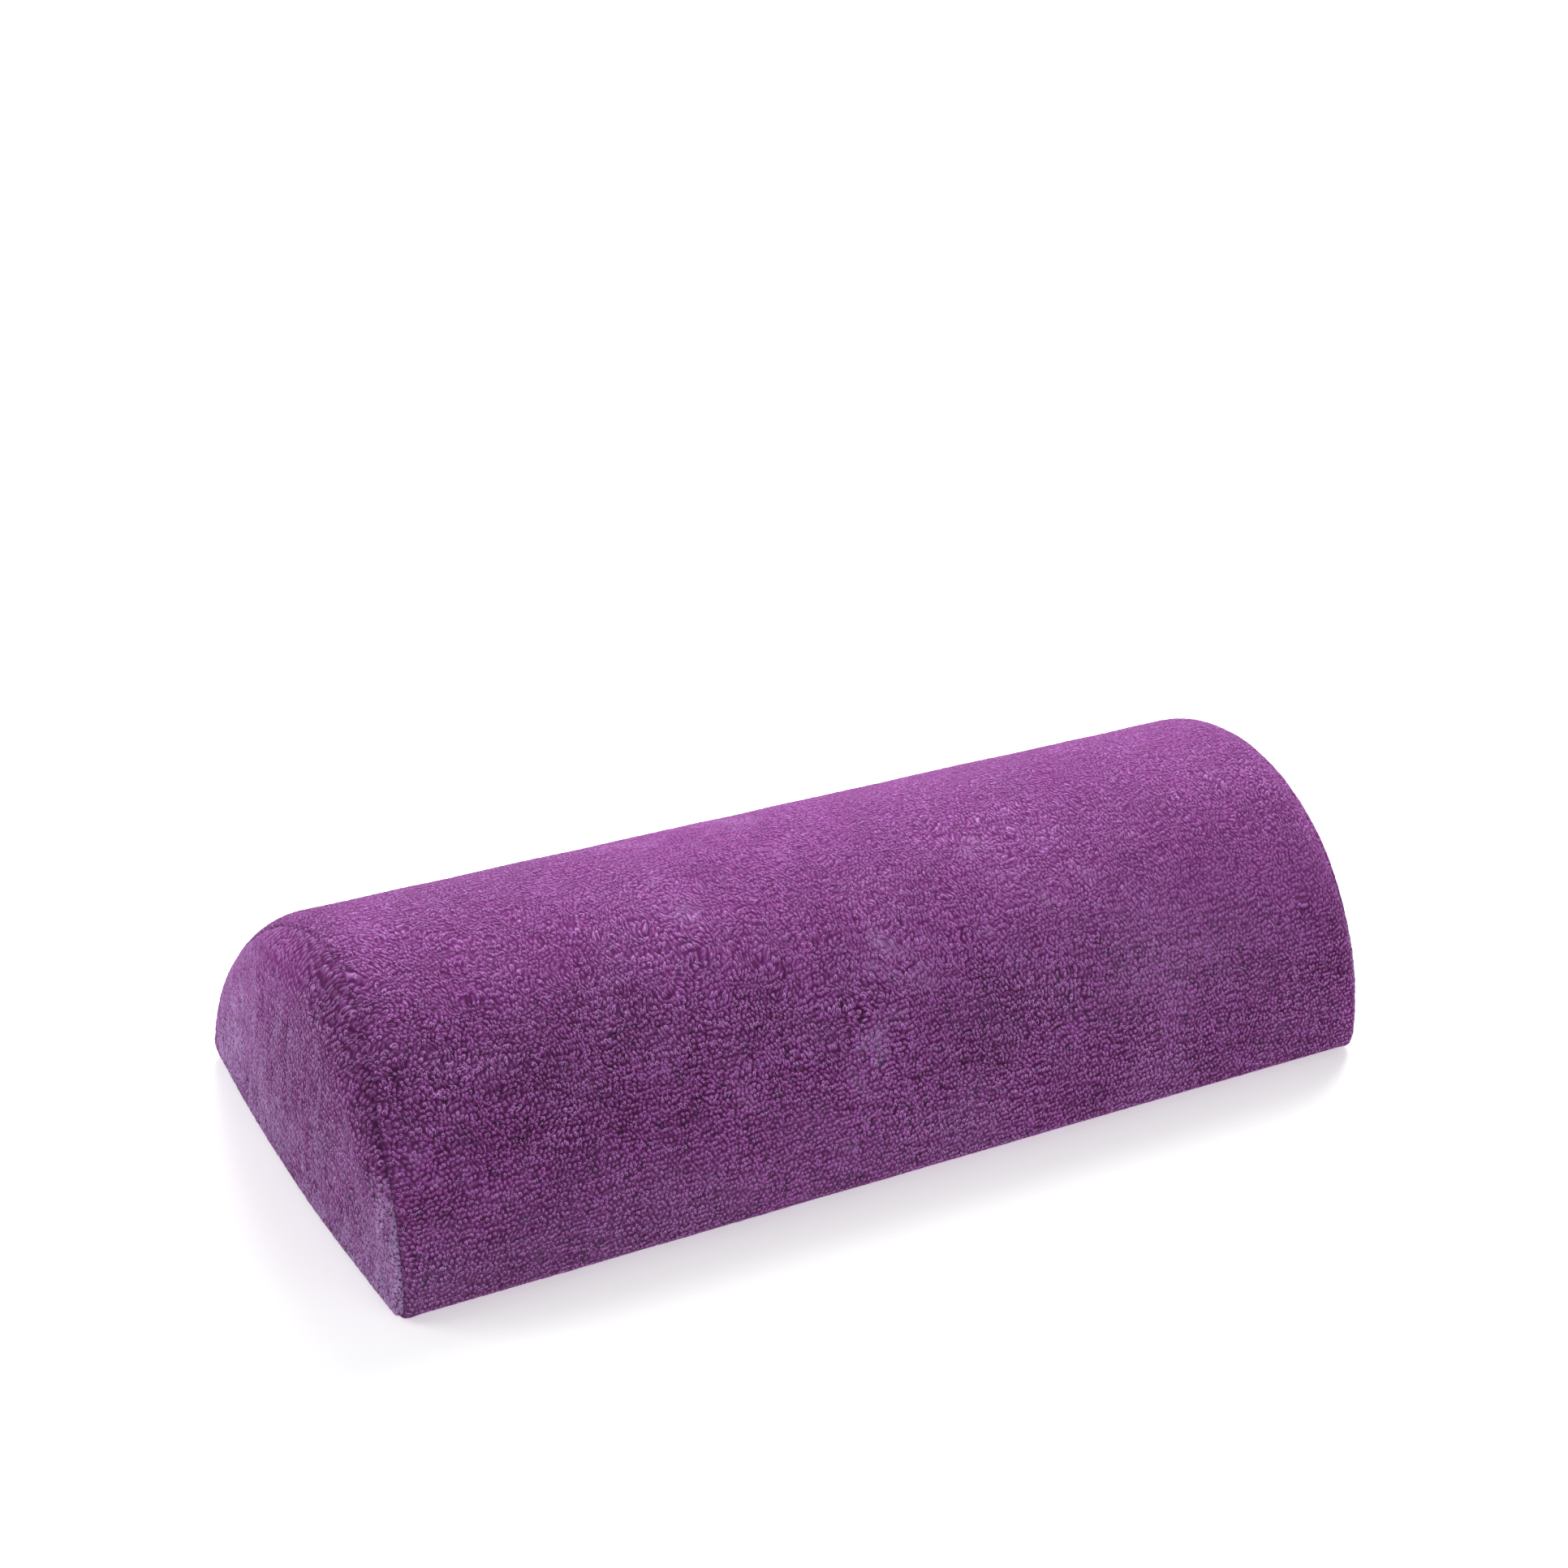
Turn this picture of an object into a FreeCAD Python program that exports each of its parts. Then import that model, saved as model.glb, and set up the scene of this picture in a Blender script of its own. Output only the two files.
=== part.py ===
import FreeCAD, Part
import math
import os
from FreeCAD import Vector

# Half-round bolster pillow: a foam block with a D-shaped section in a knitted
# liner, inside a removable terry cover that closes with a coil zip let into
# the underside.  Millimetres, +X along the pillow (right), -Y the front, +Z up,
# origin in the middle of the underside, which rests on z = 0.
# An "inset" is a distance inward from the cover's outside.

# Cover, outside
WIDTH = 150.0            # widest part of the D section
HEIGHT = 85.5            # underside to crest
LENGTH = 357.0           # along X, without the bulge of the end panels
END_CROWN = 3.75         # how far each end panel bulges
END_BELLY_Z = 20.0       # height of the bulge's furthest point
END_ROLL = 9.0           # how far the end leans back at the crest
END_RADIUS_X = 400.0     # X semi-axis of the ellipsoid that shapes an end
BASE_EDGE_R = 5.5        # long base edges
MIN_BASE_EDGE_R = 1.2
END_EDGE_R = 5.0         # edge between wrap and end panels
MIN_END_EDGE_R = 0.4     # below this the ends are left sharp
CLOTH_T = 3.0            # terry, ground cloth and pile together

# Arch of the D section
ARCH_CENTRE_Z = 0.044 * WIDTH
ARCH_SWEEP = 1.9         # radians from the crest to each end of the arch
ARCH_STEPS = 400
ARCH_WAVE_4, ARCH_WAVE_6 = 0.016, -0.003   # 4th and 6th harmonics of the radius
ARCH_SPANS = 26          # approximate spans of the interpolated curve
ARCH_FOOT_CLEAR = 1.5    # interpolated points stay this far above the base

# End seams, in planes that lean inboard towards the crest
SEAM_BACK_BASE = 3.2     # inboard of the end plane at the base
SEAM_BACK_CREST = 11.5   # and at the crest
SEAM_GAP = 0.2
SEAM_THREAD_NEAR, SEAM_THREAD_FAR = 1.0, 1.6   # inboard of the seam plane
THREAD_CLEAR = 0.05

# Seam allowance of the end panels, turned inside the wrap
ALLOW_OUTER_INSET = 3.6
ALLOW_INNER_INSET = 4.5
ALLOW_W = 9.0
OVERLOCK_W = 1.1
OVERLOCK_GAP = 0.1

# Liner and foam
LINER_INSET = 4.8
LINER_T = 0.6
LINER_SEAM_GAP = 0.1
FOAM_INSET = LINER_INSET + LINER_T + 0.1
GROOVE_HALF_L = 158.0    # groove in the liner and foam over the zip
GROOVE_HALF_W = 20.5
GROOVE_TOP = 6.7
GROOVE_EDGE_R = 1.0

# Zip opening in the underside
SLOT_HALF_L = 140.0
SLOT_HALF_W = 6.3
SLOT_CORNER_R = 2.5
HEM_W = 12.0             # folded-under edge of the wrap beside the zip
HEM_END_W = 6.0          # the same beyond the slot's ends
HEM_TOP = 4.8
HEM_OVERLAP = 0.5        # how far the hem runs into the cloth

# Zip tapes
TAPE_HALF_L = 146.0
TAPE_NEAR_Y, TAPE_FAR_Y = 1.25, 17.0
TAPE_BOTTOM = HEM_TOP + 0.05
TAPE_TOP = TAPE_BOTTOM + 0.5
SELVEDGE_W = 1.0
SELVEDGE_RISE = 0.15

# Zip seams
STITCH_Y = 10.5
CHANNEL_HALF_L = TAPE_HALF_L - 2.0
CHANNEL_HALF_W = 0.7
CHANNEL_TOP = 1.7        # also the top of the bartack pockets
BARTACK_X = SLOT_HALF_L + 3.0
POCKET_HALF_L, POCKET_HALF_W = 1.3, 8.4

SLIDER_X = 118.0         # slider centre with the zip closed

FRONT_REAR = ((-1, "front"), (1, "rear"))
LEFT_RIGHT = ((-1, "left"), (1, "right"))

os.makedirs("parts", exist_ok=True)


def save(name, shape):
    if not shape.isValid():
        shape.fix(0.01, 0.01, 0.01)
    shape.exportStep("parts/%s.step" % name)


def box(x0, x1, y0, y1, z0, z1):
    return Part.makeBox(x1 - x0, y1 - y0, z1 - z0, Vector(x0, y0, z0))


def side_box(side, x0, x1, near_y, far_y, z0, z1):
    """Box between two distances from y = 0, at the front (-1) or rear (1)."""
    y0, y1 = sorted((side * near_y, side * far_y))
    return box(x0, x1, y0, y1, z0, z1)


def round_edges(shape, radius, chosen):
    """Fillet the edges whose bounding box passes the test."""
    return shape.makeFillet(radius, [e for e in shape.Edges if chosen(e.BoundBox)])


# ---------------------------------------------------------------------------
# D-shaped body
# ---------------------------------------------------------------------------
def arch_points():
    """Arch of the D section from the front base edge over the crest to the rear,
    as (y, z), with outward normals: an ellipse about a low centre, drawn out a
    little at the crest and flanks and in at the shoulders."""
    points = []
    for i in range(ARCH_STEPS + 1):
        angle = -ARCH_SWEEP + 2 * ARCH_SWEEP * i / ARCH_STEPS
        wave = 1 + ARCH_WAVE_4 * math.cos(4 * angle) + ARCH_WAVE_6 * math.cos(6 * angle)
        y = 0.5 * WIDTH * math.sin(angle) * wave
        z = ARCH_CENTRE_Z + (HEIGHT - ARCH_CENTRE_Z) * math.cos(angle) * wave
        points.append((y, z))
    scale_y = 0.5 * WIDTH / max(abs(y) for y, z in points)
    scale_z = HEIGHT / max(z for y, z in points)
    points = [(y * scale_y, z * scale_z) for y, z in points]
    normals = []
    for i in range(len(points)):
        before, after = points[max(i - 1, 0)], points[min(i + 1, ARCH_STEPS)]
        dy, dz = after[0] - before[0], after[1] - before[1]
        length = math.hypot(dy, dz)
        normals.append((-dz / length, dy / length))
    return points, normals


ARCH, ARCH_NORMALS = arch_points()


def inset_arch(inset):
    """Points of the inset arch, cut where it meets the base at z = inset."""
    points = [(y - ny * inset, z - nz * inset)
              for (y, z), (ny, nz) in zip(ARCH, ARCH_NORMALS)]
    clear = [i for i, point in enumerate(points) if point[1] > inset + ARCH_FOOT_CLEAR]

    def foot(index, inward):
        """Walk down the arch to the base and return the crossing point."""
        while points[index][1] > inset:
            index -= inward
        low, high = points[index], points[index + inward]
        share = (inset - low[1]) / (high[1] - low[1])
        return (low[0] + share * (high[0] - low[0]), inset)

    upper = points[clear[0]:clear[-1] + 1]
    chosen = upper[::max(1, len(upper) // ARCH_SPANS)]
    chosen[-1] = upper[-1]
    chosen = [foot(clear[0], 1)] + chosen + [foot(clear[-1], -1)]
    return [Vector(0, y, z) for y, z in chosen]


def d_body(inset):
    points = inset_arch(inset)
    curve = Part.BSplineCurve()
    curve.interpolate(points)
    base = Part.LineSegment(points[-1], points[0]).toShape()
    section = Part.Face(Part.Wire([curve.toShape(), base]))
    half = LENGTH / 2.0 + 12.0       # overlong, trimmed by the ellipsoids
    section.translate(Vector(-half, 0, 0))
    body = section.extrude(Vector(2 * half, 0, 0))
    body = round_edges(body, max(BASE_EDGE_R - inset, MIN_BASE_EDGE_R),
                       lambda b: b.XLength > LENGTH and b.ZMax < inset + 0.01)
    radius_y = math.sqrt(END_RADIUS_X * (WIDTH / 2.0) ** 2 / (2 * END_CROWN))
    radius_z = math.sqrt(END_RADIUS_X * (HEIGHT - END_BELLY_Z) ** 2 / (2 * END_ROLL))
    tip = LENGTH / 2.0 + END_CROWN - inset
    for side in (-1, 1):
        ball = Part.makeSphere(1.0)
        if side > 0:
            ball.rotate(Vector(0, 0, 0), Vector(0, 0, 1), 180)
        stretch = FreeCAD.Matrix()
        stretch.scale(END_RADIUS_X, radius_y, radius_z)
        ball = ball.transformGeometry(stretch)
        ball.translate(Vector(side * (tip - END_RADIUS_X), 0, END_BELLY_Z))
        body = body.common(ball)
    if END_EDGE_R - inset < MIN_END_EDGE_R:
        return body                  # liner and foam have cut ends
    return round_edges(body, END_EDGE_R - inset, lambda b: b.XLength < 40)


def outboard(side, back):
    """Everything outboard of an end seam's plane, moved inboard by back."""
    base_x = LENGTH / 2.0 - SEAM_BACK_BASE - back
    crest_x = LENGTH / 2.0 - SEAM_BACK_CREST - back
    slope = (crest_x - base_x) / HEIGHT
    z0, z1, far_x, half_w = -20.0, HEIGHT + 20.0, 400.0, 200.0
    corners = [Vector(x, -half_w, z) for x, z in
               ((base_x + slope * z0, z0), (far_x, z0),
                (far_x, z1), (base_x + slope * z1, z1))]
    face = Part.Face(Part.makePolygon(corners + [corners[0]]))
    space = face.extrude(Vector(0, 2 * half_w, 0))
    if side < 0:
        space = space.mirror(Vector(0, 0, 0), Vector(1, 0, 0))
    return space


# ---------------------------------------------------------------------------
# Cover
# ---------------------------------------------------------------------------
cover_outside = d_body(0.0)
allow_outside = d_body(ALLOW_OUTER_INSET)
allow_inside = d_body(ALLOW_INNER_INSET)
thread_outside = d_body(CLOTH_T + THREAD_CLEAR)
thread_inside = d_body(ALLOW_OUTER_INSET - THREAD_CLEAR)


def wrap_panel():
    wrap = cover_outside.cut(d_body(CLOTH_T))
    for side in (-1, 1):
        wrap = wrap.cut(outboard(side, SEAM_GAP / 2))
    slot = box(-SLOT_HALF_L, SLOT_HALF_L, -SLOT_HALF_W, SLOT_HALF_W, -1, 4)
    slot = round_edges(slot, SLOT_CORNER_R, lambda b: b.ZLength > 4.9)
    wrap = wrap.cut(slot)
    hem_half_l, hem_half_w = SLOT_HALF_L + HEM_END_W, SLOT_HALF_W + HEM_W
    hem = box(-hem_half_l, hem_half_l, -hem_half_w, hem_half_w,
              CLOTH_T - HEM_OVERLAP, HEM_TOP)
    hem = hem.cut(slot.fuse(
        box(-SLOT_HALF_L, SLOT_HALF_L, -SLOT_HALF_W, SLOT_HALF_W, 0, 6)))
    wrap = wrap.fuse(hem)
    # sewn channels in the underside, and a pocket at each end for the bartack
    for side in (-1, 1):
        y = side * STITCH_Y
        wrap = wrap.cut(box(-CHANNEL_HALF_L, CHANNEL_HALF_L,
                            y - CHANNEL_HALF_W, y + CHANNEL_HALF_W, -1, CHANNEL_TOP))
        x = side * BARTACK_X
        wrap = wrap.cut(box(x - POCKET_HALF_L, x + POCKET_HALF_L,
                            -POCKET_HALF_W, POCKET_HALF_W, -1, CHANNEL_TOP))
    return wrap.removeSplitter()


def end_panel(side):
    face = cover_outside.common(outboard(side, -SEAM_GAP / 2))
    allowance = allow_outside.common(outboard(side, ALLOW_W))
    return face.fuse(allowance).cut(allow_inside)


def end_band(outside, inside, side, near, far):
    """Ring between two bodies, from near to far inboard of an end seam's plane."""
    return outside.cut(inside).common(outboard(side, far)).cut(outboard(side, near))


save("wrap_panel", wrap_panel())
for side, name in LEFT_RIGHT:
    save(name + "_end_panel", end_panel(side))
    save(name + "_end_seam_thread",
         end_band(thread_outside, thread_inside, side, SEAM_THREAD_NEAR, SEAM_THREAD_FAR))
    overlock_near = ALLOW_W + OVERLOCK_GAP
    save(name + "_overlock_thread",
         end_band(allow_outside, allow_inside, side, overlock_near,
                  overlock_near + OVERLOCK_W))


# ---------------------------------------------------------------------------
# Liner and foam, with a shallow groove over the zip
# ---------------------------------------------------------------------------
def grooved_body(inset, extra):
    """D body with the zip groove made larger by extra all round."""
    half_l, half_w = GROOVE_HALF_L + extra, GROOVE_HALF_W + extra
    groove = box(-half_l, half_l, -half_w, half_w, -1, GROOVE_TOP + extra)
    groove = round_edges(groove, GROOVE_EDGE_R, lambda b: b.ZMin > 5 or b.ZLength > 5)
    return d_body(inset).cut(groove)


liner_outside = grooved_body(LINER_INSET, 0.0)
liner_inside = grooved_body(LINER_INSET + LINER_T, LINER_T)
liner_wrap = liner_outside
for side, name in LEFT_RIGHT:
    liner_end = liner_outside.common(outboard(side, -LINER_SEAM_GAP / 2)).cut(liner_inside)
    save("liner_%s_end" % name, liner_end)
    liner_wrap = liner_wrap.cut(outboard(side, LINER_SEAM_GAP / 2))
save("liner_wrap", liner_wrap.cut(liner_inside))
save("foam_core", grooved_body(FOAM_INSET, FOAM_INSET - LINER_INSET))

# ---------------------------------------------------------------------------
# Zip tapes, with a thicker woven selvedge along the free edge
# ---------------------------------------------------------------------------
for side, name in FRONT_REAR:
    tape = side_box(side, -TAPE_HALF_L, TAPE_HALF_L, TAPE_NEAR_Y, TAPE_FAR_Y,
                    TAPE_BOTTOM, TAPE_TOP)
    selvedge = side_box(side, -TAPE_HALF_L, TAPE_HALF_L, TAPE_FAR_Y - SELVEDGE_W,
                        TAPE_FAR_Y, TAPE_TOP - 0.01, TAPE_TOP + SELVEDGE_RISE)
    save("zip_tape_" + name, tape.fuse(selvedge).removeSplitter())

# ---------------------------------------------------------------------------
# Zip coils: flattened turns, each a closed ring
# ---------------------------------------------------------------------------
COIL_PITCH = 1.6
COIL_TURNS = 159
COIL_WIRE_R = 0.29
COIL_Y, COIL_Z = 0.95, 3.9             # centre of a turn, on the closed chain
COIL_HALF_W, COIL_HALF_H = 1.35, 0.6   # of the wire's centreline
PART_OFFSET = 1.7                      # how far each row is parted by the slider
PART_START_X = SLIDER_X - 4.2
PART_LENGTH = 4.6                      # along X, from closed to fully parted


def parted(x):
    """Sideways offset of a coil row at x, with the zip closed."""
    share = min(max((x - PART_START_X) / PART_LENGTH, 0.0), 1.0)
    return PART_OFFSET * share * share * (3 - 2 * share)


def coil_ring():
    flat, bend = COIL_HALF_W - COIL_HALF_H, COIL_HALF_H
    path = Part.Wire([
        Part.LineSegment(Vector(0, -flat, bend), Vector(0, flat, bend)).toShape(),
        Part.Arc(Vector(0, flat, bend), Vector(0, flat + bend, 0),
                 Vector(0, flat, -bend)).toShape(),
        Part.LineSegment(Vector(0, flat, -bend), Vector(0, -flat, -bend)).toShape(),
        Part.Arc(Vector(0, -flat, -bend), Vector(0, -flat - bend, 0),
                 Vector(0, -flat, bend)).toShape(),
    ])
    wire = Part.makeCircle(COIL_WIRE_R, Vector(0, -flat, bend), Vector(0, 1, 0))
    return path.makePipeShell([Part.Wire(wire)], True, True)


def coil_row(side):
    """One row of turns; the rear row is half a pitch ahead of the front row."""
    start_x = -COIL_TURNS * COIL_PITCH / 2.0 + (0.5 * COIL_PITCH if side > 0 else 0.0)
    ring = coil_ring()
    turns = []
    for i in range(COIL_TURNS):
        x = start_x + i * COIL_PITCH
        turn = ring.copy()
        turn.translate(Vector(x, side * (COIL_Y + parted(x)), COIL_Z))
        turns.append(turn)
    return Part.Compound(turns)


for side, name in FRONT_REAR:
    save("zip_coil_" + name, coil_row(side))

# ---------------------------------------------------------------------------
# Zip slider: two plates, side flanges, a wedge between the coil rows and a
# bridge under the lower plate that holds the pull tab
# ---------------------------------------------------------------------------
# (x from the slider's centre, inside half-width)
SLIDER_INSIDE = [(-6.0, 2.78), (-4.6, 2.78), (-3.0, 3.2), (-1.2, 4.05),
                 (0.6, 4.48), (3.0, 4.5), (6.0, 4.5)]
# (x from the slider's centre, y)
WEDGE = [(0.9, 0.0), (2.2, 0.85), (4.6, 0.85), (6.0, 0.45),
         (6.0, -0.45), (4.6, -0.85), (2.2, -0.85)]
SLIDER_WALL = 0.62
PLATE_CORNER_R = 0.5
PIVOT_X, PIVOT_Z = SLIDER_X - 0.5, 1.5   # axis of the pull tab
BRIDGE_HALF_L, BRIDGE_HALF_W = 3.5, 0.8
BRIDGE_BOTTOM = 0.42
BRIDGE_POST_L = 1.0
BRIDGE_T = 0.5


def slider_prism(outline, z0, z1):
    corners = [Vector(SLIDER_X + x, y, z0) for x, y in outline]
    face = Part.Face(Part.makePolygon(corners + [corners[0]]))
    return face.extrude(Vector(0, 0, z1 - z0))


def slider_slab(wall, z0, z1):
    rear = [(x, half_w + wall) for x, half_w in SLIDER_INSIDE]
    front = [(x, -y) for x, y in reversed(rear)]
    return slider_prism(rear + front, z0, z1)


def slider_plate(z0, z1):
    return round_edges(slider_slab(SLIDER_WALL, z0, z1), PLATE_CORNER_R,
                       lambda b: b.ZLength > 0.5)


def slider_bridge():
    bridge = box(PIVOT_X - BRIDGE_HALF_L, PIVOT_X + BRIDGE_HALF_L,
                 -BRIDGE_HALF_W, BRIDGE_HALF_W, BRIDGE_BOTTOM, 2.4)
    bridge = round_edges(bridge, 1.0, lambda b: b.YLength > 1.5 and b.ZMax < 1)
    window_half_l = BRIDGE_HALF_L - BRIDGE_POST_L
    window = box(PIVOT_X - window_half_l, PIVOT_X + window_half_l, -2, 2,
                 BRIDGE_BOTTOM + BRIDGE_T, 2.1)
    window = round_edges(window, 0.5, lambda b: b.YLength > 3.9 and b.ZMax < 1)
    return bridge.cut(window)


lower_plate = slider_plate(2.1, 2.85)
upper_plate = slider_plate(5.5, 6.15)
flanges = slider_slab(SLIDER_WALL, 2.6, 4.65).cut(slider_slab(0.0, 2.0, 5.0))
wedge = slider_prism(WEDGE, 2.6, 5.8)
slider = lower_plate.fuse([upper_plate, flanges, wedge, slider_bridge()])
save("zip_slider", slider.removeSplitter())

# ---------------------------------------------------------------------------
# Pull tab, lying along the closed chain, with two openings
# ---------------------------------------------------------------------------
TAB_LEN = 15.0
TAB_W = 5.0
TAB_T = 0.8
TAB_BAR_R = 0.45
TAB_BAR_LEN = 3.4


def cross_bar(length):
    return Part.makeCylinder(TAB_BAR_R, length, Vector(PIVOT_X, -length / 2, PIVOT_Z),
                             Vector(0, 1, 0))


def pull_tab():
    plate = box(PIVOT_X - TAB_LEN, PIVOT_X, -TAB_W / 2, TAB_W / 2,
                PIVOT_Z - TAB_T / 2, PIVOT_Z + TAB_T / 2)
    plate = round_edges(plate, 1.9, lambda b: b.ZLength > 0.5 and b.XMax < PIVOT_X - 5)
    plate = round_edges(plate, 0.35, lambda b: b.ZLength > 0.5 and b.XMin > PIVOT_X - 1)
    bar_eye = box(PIVOT_X - 4.6, PIVOT_X, -1.15, 1.15, 0, 3)
    bar_eye = round_edges(bar_eye, 0.5, lambda b: b.ZLength > 2 and b.XMax < PIVOT_X - 2)
    grip_eye = box(PIVOT_X - 11.8, PIVOT_X - 7.2, -1.0, 1.0, 0, 3)
    grip_eye = round_edges(grip_eye, 0.98, lambda b: b.ZLength > 2)
    tab = plate.cut(bar_eye).cut(grip_eye)
    return tab.fuse([cross_bar(TAB_W), cross_bar(TAB_BAR_LEN)]).removeSplitter()


save("zip_pull_tab", pull_tab())

# ---------------------------------------------------------------------------
# Stops: blocks slit to take the tapes
# ---------------------------------------------------------------------------
STOP_BOTTOM, STOP_TOP = 3.1, 6.1
STOP_EDGE_R = 0.4
STOP_TAPE_CLEAR_Y, STOP_TAPE_CLEAR_Z = 0.05, 0.03


def slit_stop(block, slit_sides):
    bounds = block.BoundBox
    for side in slit_sides:
        block = block.cut(side_box(
            side, bounds.XMin - 8, bounds.XMax + 8, TAPE_NEAR_Y - STOP_TAPE_CLEAR_Y, 9.0,
            TAPE_BOTTOM - STOP_TAPE_CLEAR_Z, TAPE_TOP + STOP_TAPE_CLEAR_Z))
    return round_edges(block, STOP_EDGE_R, lambda b: b.XLength > 2.5 and (
        b.ZMax < STOP_BOTTOM + 0.1 or b.ZMin > STOP_TOP - 0.1))


save("zip_top_stops", Part.Compound([
    slit_stop(side_box(side, 128.0, 130.6, 1.0, 4.4, STOP_BOTTOM, STOP_TOP), [side])
    for side in (-1, 1)]))
save("zip_bottom_stop",
     slit_stop(box(-131.2, -128.2, -3.4, 3.4, STOP_BOTTOM, STOP_TOP), (-1, 1)))

# ---------------------------------------------------------------------------
# Topstitching: one continuous thread each side, lying in the sewn channel and
# dipping at every stitch
# ---------------------------------------------------------------------------
STITCH_PITCH = 3.0
STITCH_COUNT = int((2 * TAPE_HALF_L - 8) / STITCH_PITCH)
THREAD_R = 0.26
THREAD_Z = 1.3           # where one stitch meets the next
# (x, z) along one stitch
STITCH_PATH = [(0, THREAD_Z), (0.5, 0.86), (1.5, 0.5), (2.5, 0.86), (STITCH_PITCH, THREAD_Z)]


def thread_circle(x, y, direction):
    return Part.Wire(Part.makeCircle(THREAD_R, Vector(x, y, THREAD_Z),
                                     Vector(direction, 0, 0)))


def topstitch(side):
    start_x, y = -STITCH_COUNT * STITCH_PITCH / 2.0, side * STITCH_Y
    curve = Part.BSplineCurve()
    curve.interpolate([Vector(x, 0, z) for x, z in STITCH_PATH],
                      Tangents=[Vector(1, 0, 0)] * 5,
                      TangentFlags=[True, False, True, False, True])
    path = Part.Wire(curve.toShape())
    skin = path.makePipeShell([thread_circle(0, 0, 1)], False, False)
    faces = []
    for i in range(STITCH_COUNT):
        stitch = skin.copy()
        stitch.translate(Vector(start_x + i * STITCH_PITCH, y, 0))
        faces += stitch.Faces
    for x, direction in ((start_x, -1), (start_x + STITCH_COUNT * STITCH_PITCH, 1)):
        faces.append(Part.Face(thread_circle(x, y, direction)))
    sewn = Part.makeShell(faces)
    sewn.sewShape()
    # sewing may leave a shape that lists no shells
    thread = Part.Solid(sewn.Shells[0]) if sewn.Shells else Part.makeSolid(sewn)
    if thread.Volume < 0:
        thread.reverse()
    return thread


for side, name in FRONT_REAR:
    save("zip_topstitch_" + name, topstitch(side))

# ---------------------------------------------------------------------------
# Bartacks: a zigzag of thread across each end of the zip
# ---------------------------------------------------------------------------
BARTACK_STEPS = 22
BARTACK_HALF_W = 7.6
BARTACK_SWING = 0.85
BARTACK_Z = 0.75
BARTACK_THREAD_R = 0.3


def bartack(centre_x):
    points = []
    for i in range(BARTACK_STEPS + 1):
        y = -BARTACK_HALF_W + 2 * BARTACK_HALF_W * i / BARTACK_STEPS
        swing = BARTACK_SWING if i % 2 else -BARTACK_SWING
        points.append(Vector(centre_x + swing, y, BARTACK_Z))
    legs = []
    for start, end in zip(points[:-1], points[1:]):
        along = end.sub(start)
        legs.append(Part.makeCylinder(BARTACK_THREAD_R, along.Length, start, along))
    balls = [Part.makeSphere(BARTACK_THREAD_R, point) for point in points]
    return legs[0].fuse(legs[1:] + balls)


save("zip_bartacks", Part.Compound([bartack(side * BARTACK_X) for side in (-1, 1)]))

# ---------------------------------------------------------------------------
# Care label: a blank ribbon over the rear tape, folded at its rear edge
# ---------------------------------------------------------------------------
LABEL_X0, LABEL_X1 = 60, 84
LABEL_Y0, LABEL_Y1 = 9.0, 19.5
LABEL_T = 0.2
LABEL_BOTTOM, LABEL_TOP = TAPE_TOP + 0.22, TAPE_TOP + 0.72


def label_part(y0, z0, z1):
    return box(LABEL_X0, LABEL_X1, y0, LABEL_Y1, z0, z1)


lower_leaf = label_part(LABEL_Y0, LABEL_BOTTOM, LABEL_BOTTOM + LABEL_T)
upper_leaf = label_part(LABEL_Y0, LABEL_TOP - LABEL_T, LABEL_TOP)
fold = label_part(LABEL_Y1 - LABEL_T, LABEL_BOTTOM, LABEL_TOP)
save("care_label", lower_leaf.fuse([upper_leaf, fold]).removeSplitter())
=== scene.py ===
"""A foam pillow of D section in a terry cover, with a zip along its underside.

It lies with its length along x and its flat base on z = 0; the front is at -y, the rear
at +y. Lengths are in millimetres and become metres when a mesh is made; materials,
lights and camera are in metres.
"""

import math

import bmesh
import bpy
import numpy as np
from mathutils import Matrix, Vector


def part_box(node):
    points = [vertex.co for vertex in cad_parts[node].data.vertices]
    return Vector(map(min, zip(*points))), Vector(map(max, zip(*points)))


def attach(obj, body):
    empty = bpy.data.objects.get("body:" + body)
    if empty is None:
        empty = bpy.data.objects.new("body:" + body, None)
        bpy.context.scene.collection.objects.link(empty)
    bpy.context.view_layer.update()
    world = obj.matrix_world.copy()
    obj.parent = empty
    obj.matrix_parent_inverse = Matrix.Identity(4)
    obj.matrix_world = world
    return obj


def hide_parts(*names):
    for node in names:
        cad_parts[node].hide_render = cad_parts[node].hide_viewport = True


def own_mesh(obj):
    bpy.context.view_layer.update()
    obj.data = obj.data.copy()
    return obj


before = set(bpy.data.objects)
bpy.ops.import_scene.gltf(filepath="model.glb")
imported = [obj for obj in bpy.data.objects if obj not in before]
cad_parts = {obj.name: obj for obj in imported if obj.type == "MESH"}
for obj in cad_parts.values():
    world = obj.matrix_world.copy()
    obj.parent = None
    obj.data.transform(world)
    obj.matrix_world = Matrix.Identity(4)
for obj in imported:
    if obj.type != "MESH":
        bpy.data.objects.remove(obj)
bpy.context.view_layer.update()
MM = 0.001


def box_mm(node):
    """Low and high corners of a CAD node."""
    low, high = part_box(node)
    return np.array(low) * 1000.0, np.array(high) * 1000.0


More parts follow.
